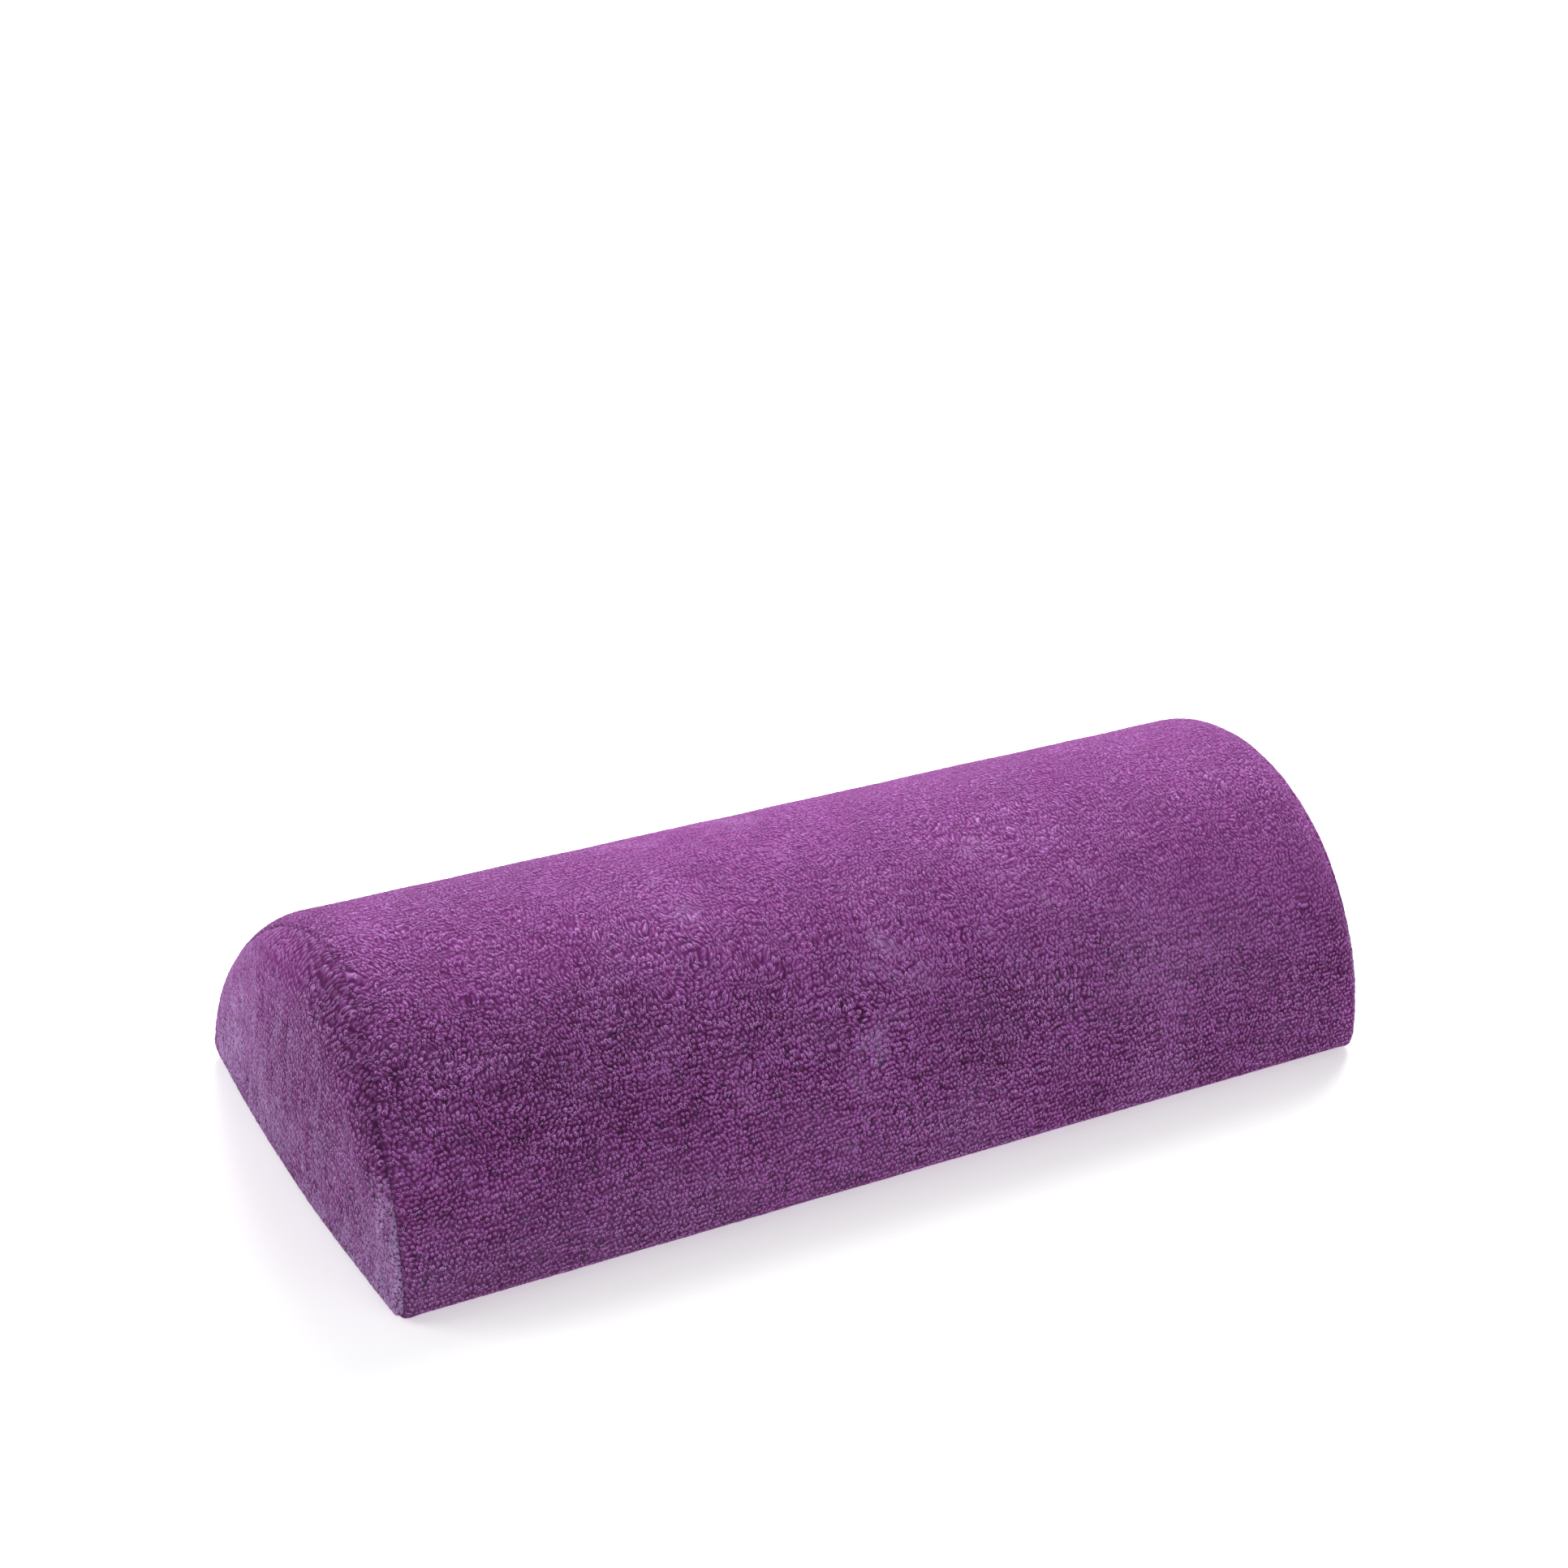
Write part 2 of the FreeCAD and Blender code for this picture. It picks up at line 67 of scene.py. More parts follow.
# ---------------------------------------------------------------------------
# Driving sizes
# ---------------------------------------------------------------------------
wrap_low, wrap_high = box_mm("wrap_panel")
WIDTH = float(wrap_high[1] - wrap_low[1])
HEIGHT = float(wrap_high[2] - min(wrap_low[2], 0.0))
CROWN = 3.75                # bulge of the ends
LENGTH = float(box_mm("right_end_panel")[1][0] - box_mm("left_end_panel")[0][0])
HALF_LENGTH = LENGTH / 2.0 - CROWN
TAPE_Z = float(box_mm("zip_tape_front")[0][2])
SLOT_Y, SLOT_X = 6.3, 140.0      # half width and half length of the zip opening
CLOTH = 2.6                 # thickness of the terry
CORNER = 5.6                # rounding between the base and the sides

# End seam: how far it sits inside HALF_LENGTH, at stations of z
SET_BACK_Z = [0, 20, 43, 56, 65, 74, 80, HEIGHT]
SET_BACK = [1.3, 1.4, 2.7, 3.5, 4.9, 6.8, 8.1, 9.0]

# Terry loops
LOOP_PITCH = 1.5            # along a row
ROW_PITCH = 1.6             # between rows
PILE = 0.26                 # relief of the loops in the mesh
PILE_STEP = 0.66            # mesh step where the pile shows

# Groove in foam and liner over the zip, given at inset GROOVE_INSET
GROOVE_Y, GROOVE_Z, GROOVE_X = 20.5, 6.7, 158.0
GROOVE_INSET = 4.8


# ---------------------------------------------------------------------------
# Functions that work on arrays and on node values alike
# ---------------------------------------------------------------------------


class Value:
    """An output socket; arithmetic on it makes math nodes."""

    def __init__(self, shader, socket):
        self.shader = shader
        self.socket = socket


def operator(kind, swapped):
    if swapped:
        return lambda a, b: a.shader.math(kind, b, a)
    return lambda a, b: a.shader.math(kind, a, b)


for word, kind in (("add", "ADD"), ("sub", "SUBTRACT"), ("mul", "MULTIPLY"), ("truediv", "DIVIDE")):
    setattr(Value, f"__{word}__", operator(kind, False))
    setattr(Value, f"__r{word}__", operator(kind, True))


def either(kind, array_function):
    """A math node when the first argument is a node value, else the array function."""
    def apply(*args):
        if isinstance(args[0], Value):
            return args[0].shader.math(kind, *args)
        return array_function(*args)
    return apply


sine = either("SINE", np.sin)
floor = either("FLOOR", np.floor)
root = either("SQRT", np.sqrt)
absolute = either("ABSOLUTE", np.abs)
maximum = either("MAXIMUM", np.maximum)


def smoothstep(x, start, end):
    if isinstance(x, Value):
        ramp = x.shader.node("ShaderNodeMapRange", {"Value": x, "From Min": start, "From Max": end},
                             interpolation_type="SMOOTHSTEP")
        return Value(x.shader, ramp.outputs["Result"])
    t = np.clip((x - start) / (end - start), 0, 1)
    return t * t * (3 - 2 * t)


def bell(x, width):
    return np.exp(-(x / width) ** 2)


def arc_drop(radius, reach):
    """How far an arc of this radius falls away over a sideways reach."""
    return radius - np.sqrt(np.maximum(radius * radius - reach * reach, 0))


# ---------------------------------------------------------------------------
# Section of the pillow: a D, slightly fuller at the crest than a circle
# ---------------------------------------------------------------------------


def make_outline():
    """y, z and arc length from base centre by front corner, crest and rear corner, and back."""
    angle = np.linspace(-1.9, 1.9, 4001)
    fullness = 1 + 0.016 * np.cos(4 * angle) - 0.003 * np.cos(6 * angle)
    centre = 0.044 * WIDTH
    y = 0.5 * WIDTH * np.sin(angle) * fullness
    z = centre + (HEIGHT - centre) * np.cos(angle) * fullness
    y *= 0.5 * WIDTH / np.abs(y).max()
    z *= HEIGHT / z.max()
    above = z >= CORNER
    y, z = y[above], z[above]
    turn = np.linspace(0, math.pi / 2, 60)[1:]
    front_y, front_z = y[0] + CORNER * (1 - np.cos(turn)), z[0] - z[0] * np.sin(turn)
    rear_y, rear_z = y[-1] - CORNER * (1 - np.cos(turn)), z[-1] - z[-1] * np.sin(turn)
    to_front = np.linspace(0, front_y[-1], 400)[:-1]
    from_rear = np.linspace(rear_y[-1], 0, 400)[1:]
    Y = np.concatenate([to_front, front_y[::-1], y, rear_y, from_rear])
    Z = np.concatenate([np.zeros_like(to_front), front_z[::-1], z, rear_z,
                        np.zeros_like(from_rear)])
    return Y, Z, np.concatenate([[0], np.cumsum(np.hypot(np.diff(Y), np.diff(Z)))])


def smooth_closed(values, reach=9):
    """Running mean round the closed section."""
    padded = np.concatenate([values[-reach - 1:-1], values, values[1:reach + 1]])
    return np.convolve(padded, np.ones(2 * reach + 1) / (2 * reach + 1), "valid")


def make_section(arc):
    """y, z and outward normal at even arc lengths."""
    y, z = np.interp(arc, OUTLINE_S, OUTLINE_Y), np.interp(arc, OUTLINE_S, OUTLINE_Z)
    dy, dz = np.gradient(y), np.gradient(z)
    size = np.hypot(dy, dz)
    ny, nz = smooth_closed(-dz / size), smooth_closed(dy / size)
    size = np.hypot(ny, nz)
    return y, z, ny / size, nz / size


OUTLINE_Y, OUTLINE_Z, OUTLINE_S = make_outline()
PERIMETER = float(OUTLINE_S[-1])
SECTION_S = np.linspace(0, PERIMETER, 6001)
SECTION = make_section(SECTION_S)


def section(arc):
    """y, z and outward normal of the section at an arc length."""
    arc = np.asarray(arc) % PERIMETER
    return [np.interp(arc, SECTION_S, column) for column in SECTION]


def edge_radius(z):
    """Rounding of the end edges: tight at the base, generous at the crest."""
    return 4.2 + 14.4 * np.clip(z / HEIGHT, 0, 1)


def set_back(z):
    return np.interp(z, SET_BACK_Z, SET_BACK)


def crown(y, z):
    """How far the end bulges out."""
    across = np.clip(1 - (y / (WIDTH / 2 - 3)) ** 2, 0, 1)
    upward = np.clip(1 - ((z - 0.36 * HEIGHT) / (0.72 * HEIGHT)) ** 2, 0, 1)
    return CROWN * across * upward


def rounding(x, z):
    """How far the surface is drawn in near the ends."""
    radius = edge_radius(z)
    return arc_drop(radius, np.clip(np.abs(x) - (HALF_LENGTH - radius), 0, radius * 0.999))


def seam_normal(arc, z):
    """Outward normal of the rounded edge where the end seam runs, at the +x end."""
    _, _, ny, nz = section(arc)
    radius = edge_radius(z)
    nx = np.clip((radius - set_back(z)) / radius, 0, 0.999)
    side = np.sqrt(1 - nx * nx)
    return np.stack([nx, ny * side, nz * side], -1)


PUCKERS = np.random.RandomState(77).standard_normal(256)


def pucker(arc):
    """Small gathers along an end seam, the same for both panels it joins."""
    place = (np.asarray(arc) / PERIMETER % 1.0) * 256
    i = place.astype(int) % 256
    t = place - np.floor(place)
    t = t * t * (3 - 2 * t)
    gathers = 0.06 * (PUCKERS[i] * (1 - t) + PUCKERS[(i + 1) % 256] * t)
    return gathers + 0.03 * np.sin(np.asarray(arc) * 2 * math.pi / 3.1)


# ---------------------------------------------------------------------------
# Smooth noise over the cloth
# ---------------------------------------------------------------------------

# Each field is a sum of noises: (weight, spread along u, spread along v, seed)
CLOTH_FIELDS = {
    "wander_u": ((0.5, 9, 9, 1), (0.22, 2.4, 2.4, 2), (0.13, 1.1, 1.1, 20)),
    "wander_v": ((0.5, 10, 10, 3), (0.22, 2.4, 2.4, 4), (0.13, 1.1, 1.1, 21)),
    "flow_u": ((1.0, 10, 10, 5), (0.9, 3.2, 3.2, 6)),
    "flow_v": ((1.0, 10, 10, 7), (0.9, 3.2, 3.2, 8)),
    "lean": ((1.0, 14, 14, 9), (0.6, 5, 5, 10)),
    "tone": ((0.62, 15, 15, 11), (0.5, 4.5, 4.5, 12), (0.4, 1.6, 1.6, 13)),
    "lift": ((1.0, 6, 6, 14),),
    # brushed streaks, long along v
    "fluff": ((0.75, 0.9, 3.6, 30), (0.45, 0.45, 1.1, 31), (0.5, 8, 8, 32)),
}


def noise_field(rows, columns, cell, spread_u, spread_v, seed):
    """Gaussian-filtered white noise of unit variance."""
    white = np.random.RandomState(seed).standard_normal((rows, columns))
    fu = np.fft.fftfreq(rows, cell)[:, None] * spread_u
    fv = np.fft.rfftfreq(columns, cell)[None, :] * spread_v
    blur = np.exp(-2 * math.pi ** 2 * (fu ** 2 + fv ** 2))
    field = np.fft.irfft2(np.fft.rfft2(white) * blur, s=(rows, columns))
    return field / field.std()


class Cloth:
    """Noise fields on a half-millimetre lattice over one cut panel, read bilinearly."""

    def __init__(self, size_u, size_v, seed):
        self.size_u, self.size_v = size_u, size_v
        self.rows, self.columns = int(size_u * 2) + 8, int(size_v * 2) + 8
        self.fields = {
            name: sum(weight * noise_field(self.rows, self.columns, 0.5, spread_u, spread_v,
                                           seed * 100 + part)
                      for weight, spread_u, spread_v, part in parts)
            for name, parts in CLOTH_FIELDS.items()}

    def get(self, name, u, v):
        field = self.fields[name]
        x = np.clip(u / self.size_u * (self.rows - 1), 0, self.rows - 1.001)
        y = np.clip(v / self.size_v * (self.columns - 1), 0, self.columns - 1.001)
        i, j = x.astype(int), y.astype(int)
        s, t = x - i, y - j
        return (field[i, j] * (1 - s) * (1 - t) + field[i + 1, j] * s * (1 - t)
                + field[i, j + 1] * (1 - s) * t + field[i + 1, j + 1] * s * t)


# ---------------------------------------------------------------------------
# One formula for the loops, read both by the mesh and by the material
# ---------------------------------------------------------------------------
YARN = 0.064                # yarn thickness, in loop pitches
JITTER = 0.2                # scatter of the loops off their lattice
TWIST = 1.0                 # scatter of the way they face


def lattice(a, b, cos_turn, sin_turn, lean, seed):
    """One staggered lattice of loops: the mound of each, and its thin bent yarn."""
    row = floor(b)
    shifted = a + row * 0.5
    column = floor(shifted)
    # three scattered values per loop, each from -1 to 1
    rand1 = sine(column * 2.399 + row * 4.321
                 + sine(column * 1.713 - row * 3.127) * 1.9 + seed)
    rand2 = sine(column * 3.77 - row * 2.13
                 + sine(column * 2.951 + row * 1.337) * 2.3 + seed * 1.7)
    rand3 = sine(column * 5.13 + row * 3.61 + rand1 * 1.5 + seed * 0.7)
    # place within the cell
    p = shifted - column - 0.5 + rand1 * JITTER
    q = b - row - 0.5 + rand2 * JITTER
    mound = (1.0 - smoothstep(root(p * p + q * q), 0.1, 0.64)) * (0.66 + rand3 * 0.34)
    # turned with the nap and stretched by its lean
    cos_loop = cos_turn - sin_turn * rand2 * TWIST
    sin_loop = sin_turn + cos_turn * rand2 * TWIST
    across = p * cos_loop - q * sin_loop
    along = (p * sin_loop + q * cos_loop) / (1.0 + lean * 0.6)
    centred = along + 0.06
    radius = 0.22 + rand1 * 0.05
    ring = absolute(root(across * across + centred * centred) - radius)
    bend = (1.0 - smoothstep(ring, YARN * 0.4, YARN * 2.2)) * smoothstep(along, -0.2, 0.06)
    leg = ((1.0 - smoothstep(absolute(across - radius), YARN * 0.4, YARN * 2.0))
           * (1.0 - smoothstep(along, -0.1, 0.02)) * smoothstep(along, -0.55, -0.25))
    return mound, maximum(bend, leg * 0.85) * (0.56 + rand3 * 0.44)


def loops(a, b, cos_turn, sin_turn, lean):
    """Two lattices laid across each other, so that the loops jumble."""
    mound1, yarn1 = lattice(a, b, cos_turn, sin_turn, lean, 0.0)
    mound2, yarn2 = lattice(a * 0.92 + b * 0.23 + 0.37, b * 0.92 - a * 0.23 + 0.61,
                            cos_turn, sin_turn, lean, 2.0)
    return maximum(mound1, mound2 * 0.92), maximum(yarn1, yarn2 * 0.92)


# ---------------------------------------------------------------------------
# Materials
# ---------------------------------------------------------------------------


def srgb(*channels):
    """Linear colour from 8-bit sRGB."""
    parts = [c / 255.0 for c in channels]
    return tuple(c / 12.92 if c <= 0.04045 else ((c + 0.055) / 1.055) ** 2.4
                 for c in parts) + (1.0,)


class Shader:
    """A material around one Principled BSDF, and short ways to make its nodes."""

    def __init__(self, name):
        self.material = bpy.data.materials.new(name)
        self.material.use_nodes = True
        self.tree = self.material.node_tree
        self.tree.nodes.clear()
        self.output = self.node("ShaderNodeOutputMaterial")
        self.principled = self.node("ShaderNodeBsdfPrincipled")
        self.tree.links.new(self.principled.outputs[0], self.output.inputs[0])

    def node(self, kind, inputs=None, **properties):
        node = self.tree.nodes.new(kind)
        for name, value in properties.items():
            setattr(node, name, value)
        for key, value in (inputs or {}).items():
            self.link(value, node.inputs[key])
        return node

    def link(self, value, socket):
        if isinstance(value, Value):
            self.tree.links.new(value.socket, socket)
        else:
            socket.default_value = value

    def math(self, kind, *args):
        node = self.node("ShaderNodeMath", dict(enumerate(args)), operation=kind)
        return Value(self, node.outputs[0])

    def mix(self, factor, first, second):
        """Colour going from first to second."""
        node = self.node("ShaderNodeMix", {0: factor, 6: first, 7: second},
                         data_type="RGBA", clamp_factor=True)
        return Value(self, node.outputs[2])

    def split(self, vector):
        node = self.node("ShaderNodeSeparateXYZ", {0: vector})
        return [Value(self, socket) for socket in node.outputs]

    def attribute(self, name):
        node = self.node("ShaderNodeAttribute", attribute_name=name)
        return self.split(Value(self, node.outputs["Vector"]))

    def coords(self, scale=(1, 1, 1), rotation=(0, 0, 0)):
        place = Value(self, self.node("ShaderNodeTexCoord").outputs["Object"])
        node = self.node("ShaderNodeMapping", {0: place, "Scale": scale, "Rotation": rotation})
        return Value(self, node.outputs[0])

    def noise(self, vector, scale, detail=2.0, rough=0.5):
        node = self.node("ShaderNodeTexNoise", {"Vector": vector, "Scale": scale,
                                                "Detail": detail, "Roughness": rough})
        return Value(self, node.outputs[0])

    def voronoi(self, vector, scale):
        node = self.node("ShaderNodeTexVoronoi", {"Vector": vector, "Scale": scale})
        return Value(self, node.outputs["Distance"])

    def wave(self, vector, scale, distortion, direction):
        node = self.node("ShaderNodeTexWave", {"Vector": vector, "Scale": scale,
                                               "Distortion": distortion, "Detail Scale": 2.0},
                         bands_direction=direction)
        return Value(self, node.outputs[1])

    def bump(self, height, distance, strength):
        node = self.node("ShaderNodeBump",
                         {"Distance": distance, "Strength": strength, "Height": height})
        self.tree.links.new(node.outputs[0], self.principled.inputs["Normal"])

    def surface(self, color, roughness, specular=0.3, sheen=0.0):
        inputs = self.principled.inputs
        self.link(color, inputs["Base Color"])
        self.link(roughness, inputs["Roughness"])
        inputs["Specular IOR Level"].default_value = specular
        inputs["Sheen Weight"].default_value = sheen


def terry_material():
    shader = Shader("terry_loop_pile")
    a, b, lean = shader.attribute("loop")
    cos_turn, sin_turn, tone = shader.attribute("flow")
    seam, painted_sheen, fluff = shader.attribute("place")
    mound, arch = loops(a, b, cos_turn, sin_turn, lean)
    place = shader.coords()
    x, y, z = shader.split(place)
    # painted top light: 1 on the crest, reaching lower to the right and on the rear of the left
    # end; the colours that read it are lighter there
    painted_light_rear_left = smoothstep(x * -1.0, 0.172, 0.178) * maximum(y + 0.012, 0.0)
    crest = smoothstep(z + x * 0.085 + painted_light_rear_left * 0.75, 0.05, 0.084)
    fibre = shader.noise(place, scale=3200.0, detail=3.0, rough=0.65)
    patch = shader.noise(place, scale=75.0, detail=3.0, rough=0.6)
    # painted shadow pockets beside the loops
    painted_shadow_pocket = smoothstep(shader.noise(place, scale=330.0), 0.54, 0.68)
    tuft = smoothstep(shader.noise(place, scale=1050.0, detail=3.0, rough=0.7), 0.43, 0.58)
    # tone of the loop bodies: random, and lighter as painted light on the rear half of each end
    shade = tone * 0.42 + 0.5
    # yarn colours: between the loops in painted shade, body of the loop, its raised back as a
    # painted highlight
    gap = shader.mix(crest, srgb(64, 18, 56), srgb(98, 34, 94))
    dark_body = shader.mix(crest, srgb(112, 41, 110), srgb(133, 54, 133))
    light_body = shader.mix(crest, srgb(142, 60, 142), srgb(157, 74, 156))
    body = shader.mix(shade, dark_body, light_body)
    # the painted highlight turns greyer under the painted sheen
    back = shader.mix(painted_sheen, srgb(210, 158, 227), srgb(194, 166, 212))
    cover = smoothstep(mound, 0.02, 0.55) * (0.66 + shade * 0.34)
    color = shader.mix(cover, gap, body)
    # painted shadow pockets beside the loops, fewer on the crest
    color = shader.mix(painted_shadow_pocket * (1.0 - arch) * (0.7 - crest * 0.45), color, srgb(40, 10, 36))
    # raised yarn in its painted highlight, broken up by its fibres
    color = shader.mix(arch * (0.56 + fibre * 0.84) * (1.0 - crest * 0.2), color, back)
    # broad faded patches, then brushed fluff, then the painted shade of the seams and creases
    color = shader.mix(smoothstep(patch, 0.42, 0.68) * 0.09, color, srgb(160, 104, 168))
    color = shader.mix(fluff * (0.06 + tuft * 1.1) * (0.45 + fibre * 0.6),
                       color, srgb(184, 158, 204))
    color = shader.mix(seam, color, srgb(58, 16, 54))
    shader.surface(color, roughness=0.94, specular=0.1, sheen=0.28)
    shader.principled.inputs["Sheen Roughness"].default_value = 0.5
    shader.principled.inputs["Sheen Tint"].default_value = srgb(236, 150, 236)
    height = mound * 0.4 + arch * 0.6 + fibre * 0.14
    shader.bump(height, distance=0.0008, strength=0.9)
    return shader.material


def cloth_material(name, base, dark, scale, sheen, roughness):
    """A fine plain weave or knit."""
    shader = Shader(name)
    place = shader.coords()
    wave_x, wave_y, wave_z = [shader.wave(place, scale, distortion=0.6, direction=axis)
                              for axis in "XYZ"]
    weave = maximum(wave_x, maximum(wave_y, wave_z)) * 0.6 + wave_x * wave_y * 0.4
    fuzz = shader.noise(place, scale=900.0, detail=3.0)
    blotch = shader.noise(place, scale=40.0)
    color = shader.mix(weave * 0.8 + fuzz * 0.2, dark, base)
    color = shader.mix(blotch * 0.18, color, dark)
    shader.surface(color, roughness, sheen=sheen)
    shader.bump(weave + fuzz * 0.3, distance=0.00015, strength=0.8)
    return shader.material


def thread_material():
    shader = Shader("polyester_thread")
    place = shader.coords(rotation=(0.5, 0.4, 0.6))
    twist = shader.wave(place, scale=1400.0, distortion=0.4, direction="X")
    fuzz = shader.noise(place, scale=3000.0)
    color = shader.mix(twist * 0.7 + fuzz * 0.3, srgb(80, 34, 86), srgb(134, 74, 138))
    shader.surface(color, roughness=0.62, sheen=0.2)
    shader.bump(twist, distance=0.00008, strength=0.7)
    return shader.material


def coil_material():
    shader = Shader("nylon_coil")
    place = shader.coords()
    mottle = shader.noise(place, scale=500.0, detail=3.0)
    color = shader.mix(mottle, srgb(84, 34, 88), srgb(112, 56, 116))
    shader.surface(color, roughness=mottle * 0.2 + 0.28, specular=0.5)
    shader.bump(shader.noise(place, scale=4000.0), distance=0.00003, strength=0.5)
    return shader.material


def metal_material():
    shader = Shader("satin_nickel")
    grain = shader.noise(shader.coords(scale=(1, 6, 1)), scale=900.0, detail=4.0, rough=0.6)
    wear = shader.noise(shader.coords(), scale=220.0, detail=3.0)
    color = shader.mix(wear, srgb(222, 223, 226), srgb(240, 240, 242))
    shader.surface(color, roughness=grain * 0.2 + 0.34)
    shader.principled.inputs["Metallic"].default_value = 1.0
    shader.bump(grain, distance=0.00002, strength=0.6)
    return shader.material


def foam_material():
    shader = Shader("open_cell_foam")
    place = shader.coords()
    small = shader.voronoi(place, scale=900.0)
    large = shader.voronoi(place, scale=420.0)
    blotch = shader.noise(place, scale=30.0, detail=3.0)
    cell = smoothstep(small, 0.1, 0.55)
    color = shader.mix(cell, srgb(238, 226, 186), srgb(196, 178, 132))
    color = shader.mix(blotch * 0.25, color, srgb(224, 204, 150))
    shader.surface(color, roughness=0.95)
    height = 1.0 - cell * 0.6 - smoothstep(large, 0.1, 0.5) * 0.4
    shader.bump(height, distance=0.0005, strength=0.8)
    return shader.material


TERRY = terry_material()
LINER = cloth_material("liner_knit", base=srgb(232, 228, 220), dark=srgb(196, 191, 182),
                       scale=500.0, sheen=0.1, roughness=0.9)
TAPE = cloth_material("woven_tape", base=srgb(116, 58, 120), dark=srgb(70, 28, 76),
                      scale=900.0, sheen=0.1, roughness=0.7)
THREAD = thread_material()
COIL = coil_material()
METAL = metal_material()
FOAM = foam_material()
LABEL = cloth_material("satin_label", base=srgb(240, 238, 234), dark=srgb(206, 203, 198),
                       scale=1300.0, sheen=0.25, roughness=0.45)

# ---------------------------------------------------------------------------
# Mesh helpers
# ---------------------------------------------------------------------------

# Point attributes the terry material reads:
#   loop: place along the row, row number, lean of the loops
#   flow: cosine and sine of the nap's turn, light or dark tone, with painted light on the rear half
#       of each end
#   place: painted shade at seams and creases, painted sheen greyness, fluff
ATTRIBUTES = ("loop", "flow", "place")


class Builder:
    """Collects grids and the faces that join them into one mesh."""

    def __init__(self):
        self.points, self.faces, self.uvs = [], [], []
        self.attributes = {name: [] for name in ATTRIBUTES}
        self.count = 0

    def add(self, points, faces=None, uv=None, attributes=None):
        """Add points and their faces; returns the index of the first point."""
        start = self.count
        points = np.asarray(points, float).reshape(-1, 3)
        self.points.append(points)
        self.count += len(points)
        if faces is not None:
            self.faces.append(faces + start)
            self.uvs.append(uv)
        for name, parts in self.attributes.items():
            values = np.asarray((attributes or {}).get(name, (0, 0, 0)), float).reshape(-1, 3)
            parts.append(np.broadcast_to(values, points.shape))
        return start

    def add_faces(self, faces, uv):
        """Add faces between known points, all at one spot of the UV map."""
        self.faces.append(faces)
        self.uvs.append(np.full(faces.shape + (2,), uv))

    def cap(self, row, size, centre, uv, flip=False):
        """Close one row of the first grid, a ring of `size` points, with a fan."""
        j = np.arange(size)
        middle = self.add(centre)
        fan = np.stack([row * size + j, row * size + (j + 1) % size, np.full(size, middle)], -1)
        self.add_faces(fan[:, ::-1] if flip else fan, uv)

    def bridge(self, path, columns, inner_start, inner_columns, uv, flip):
        """Join a path of (row, column) on the first grid to an inner grid three times coarser."""
        fine = [i * columns + j for i, j in path]
        coarse = [inner_start + i // 3 * inner_columns + j // 3 for i, j in path[::3]]
        faces = []
        for k, (c0, c1) in enumerate(zip(coarse, coarse[1:])):
            f0, f1, f2, f3 = fine[3 * k:3 * k + 4]
            faces += [(f0, f1, c0), (f1, f2, c0), (f2, c1, c0), (f2, f3, c1)]
        faces = np.array(faces)
        self.add_faces(faces[:, ::-1] if flip else faces, uv)

    def make(self, name, material):
        mesh = bpy.data.meshes.new(name)
        points = np.concatenate(self.points) * MM
        sizes = np.concatenate([np.full(len(f), f.shape[1]) for f in self.faces])
        corners = np.concatenate([f.reshape(-1) for f in self.faces])
        uv = np.concatenate([part.reshape(-1, 2) for part in self.uvs])
        mesh.vertices.add(len(points))
        mesh.vertices.foreach_set("co", points.astype(np.float32).reshape(-1))
        mesh.loops.add(len(corners))
        mesh.loops.foreach_set("vertex_index", corners.astype(np.int32))
        mesh.polygons.add(len(sizes))
        starts = np.concatenate([[0], np.cumsum(sizes)[:-1]])
        mesh.polygons.foreach_set("loop_start", starts.astype(np.int32))
        mesh.update(calc_edges=True)
        mesh.validate()
        for attribute, parts in self.attributes.items():
            layer = mesh.attributes.new(attribute, "FLOAT_VECTOR", "POINT")
            values = np.concatenate(parts).astype(np.float32)
            layer.data.foreach_set("vector", values.reshape(-1))
        # validate() may drop faces, and the UVs would no longer match
        if len(mesh.loops) == len(uv):
            layer = mesh.uv_layers.new(name="OFBake")
            layer.data.foreach_set("uv", np.clip(uv, 0, 1).astype(np.float32).reshape(-1))
        mesh.polygons.foreach_set("use_smooth", np.ones(len(mesh.polygons), bool))
        ob = bpy.data.objects.new(name, mesh)
        bpy.context.scene.collection.objects.link(ob)
        mesh.materials.append(material)
        return ob


def stand_in(ob, node):
    """Let a piece stand in for a CAD node and move with the cover."""
    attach(ob, "cover")
    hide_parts(node)


def outward(ob):
    """Drop loose points and turn every face outwards."""
    bm = bmesh.new()
    bm.from_mesh(ob.data)
    loose = [v for v in bm.verts if not v.link_faces]
    bmesh.ops.delete(bm, geom=loose, context="VERTS")
    bmesh.ops.recalc_face_normals(bm, faces=bm.faces)
    bm.to_mesh(ob.data)
    bm.free()


def vectors(*columns):
    return np.stack(np.broadcast_arrays(*columns), -1)


def corner_uv(u0, u1, v0, v1):
    """UVs at the four corners of each quad."""
    u0, u1, v0, v1 = np.broadcast_arrays(u0, u1, v0, v1)
    corners = ((u0, v0), (u1, v0), (u1, v1), (u0, v1))
    return np.stack([np.stack(corner, -1) for corner in corners], -2)


def uv_band(uv, height, start=0.0):
    """Squeeze the V of a grid into a band of the map."""
    return uv * np.array([1.0, height]) + np.array([0.0, start])


def grid_faces(rows, columns, closed=False, keep=None, flip=False):
    """Quads and UVs over a grid of points stored row by row; closed joins the columns round."""
    spans = columns if closed else columns - 1
    i = np.arange(rows - 1)[:, None]
    j = np.arange(spans)[None, :]
    following = (j + 1) % columns
    quads = np.stack([i * columns + j, (i + 1) * columns + j,
                      (i + 1) * columns + following, i * columns + following], -1)
    uv = corner_uv(i / (rows - 1), (i + 1) / (rows - 1), j / spans, (j + 1) / spans)
    if keep is None:
        quads, uv = quads.reshape(-1, 4), uv.reshape(-1, 4, 2)
    else:
        quads, uv = quads[keep], uv[keep]
    if flip:
        quads, uv = quads[:, ::-1], uv[:, ::-1]
    return quads, uv


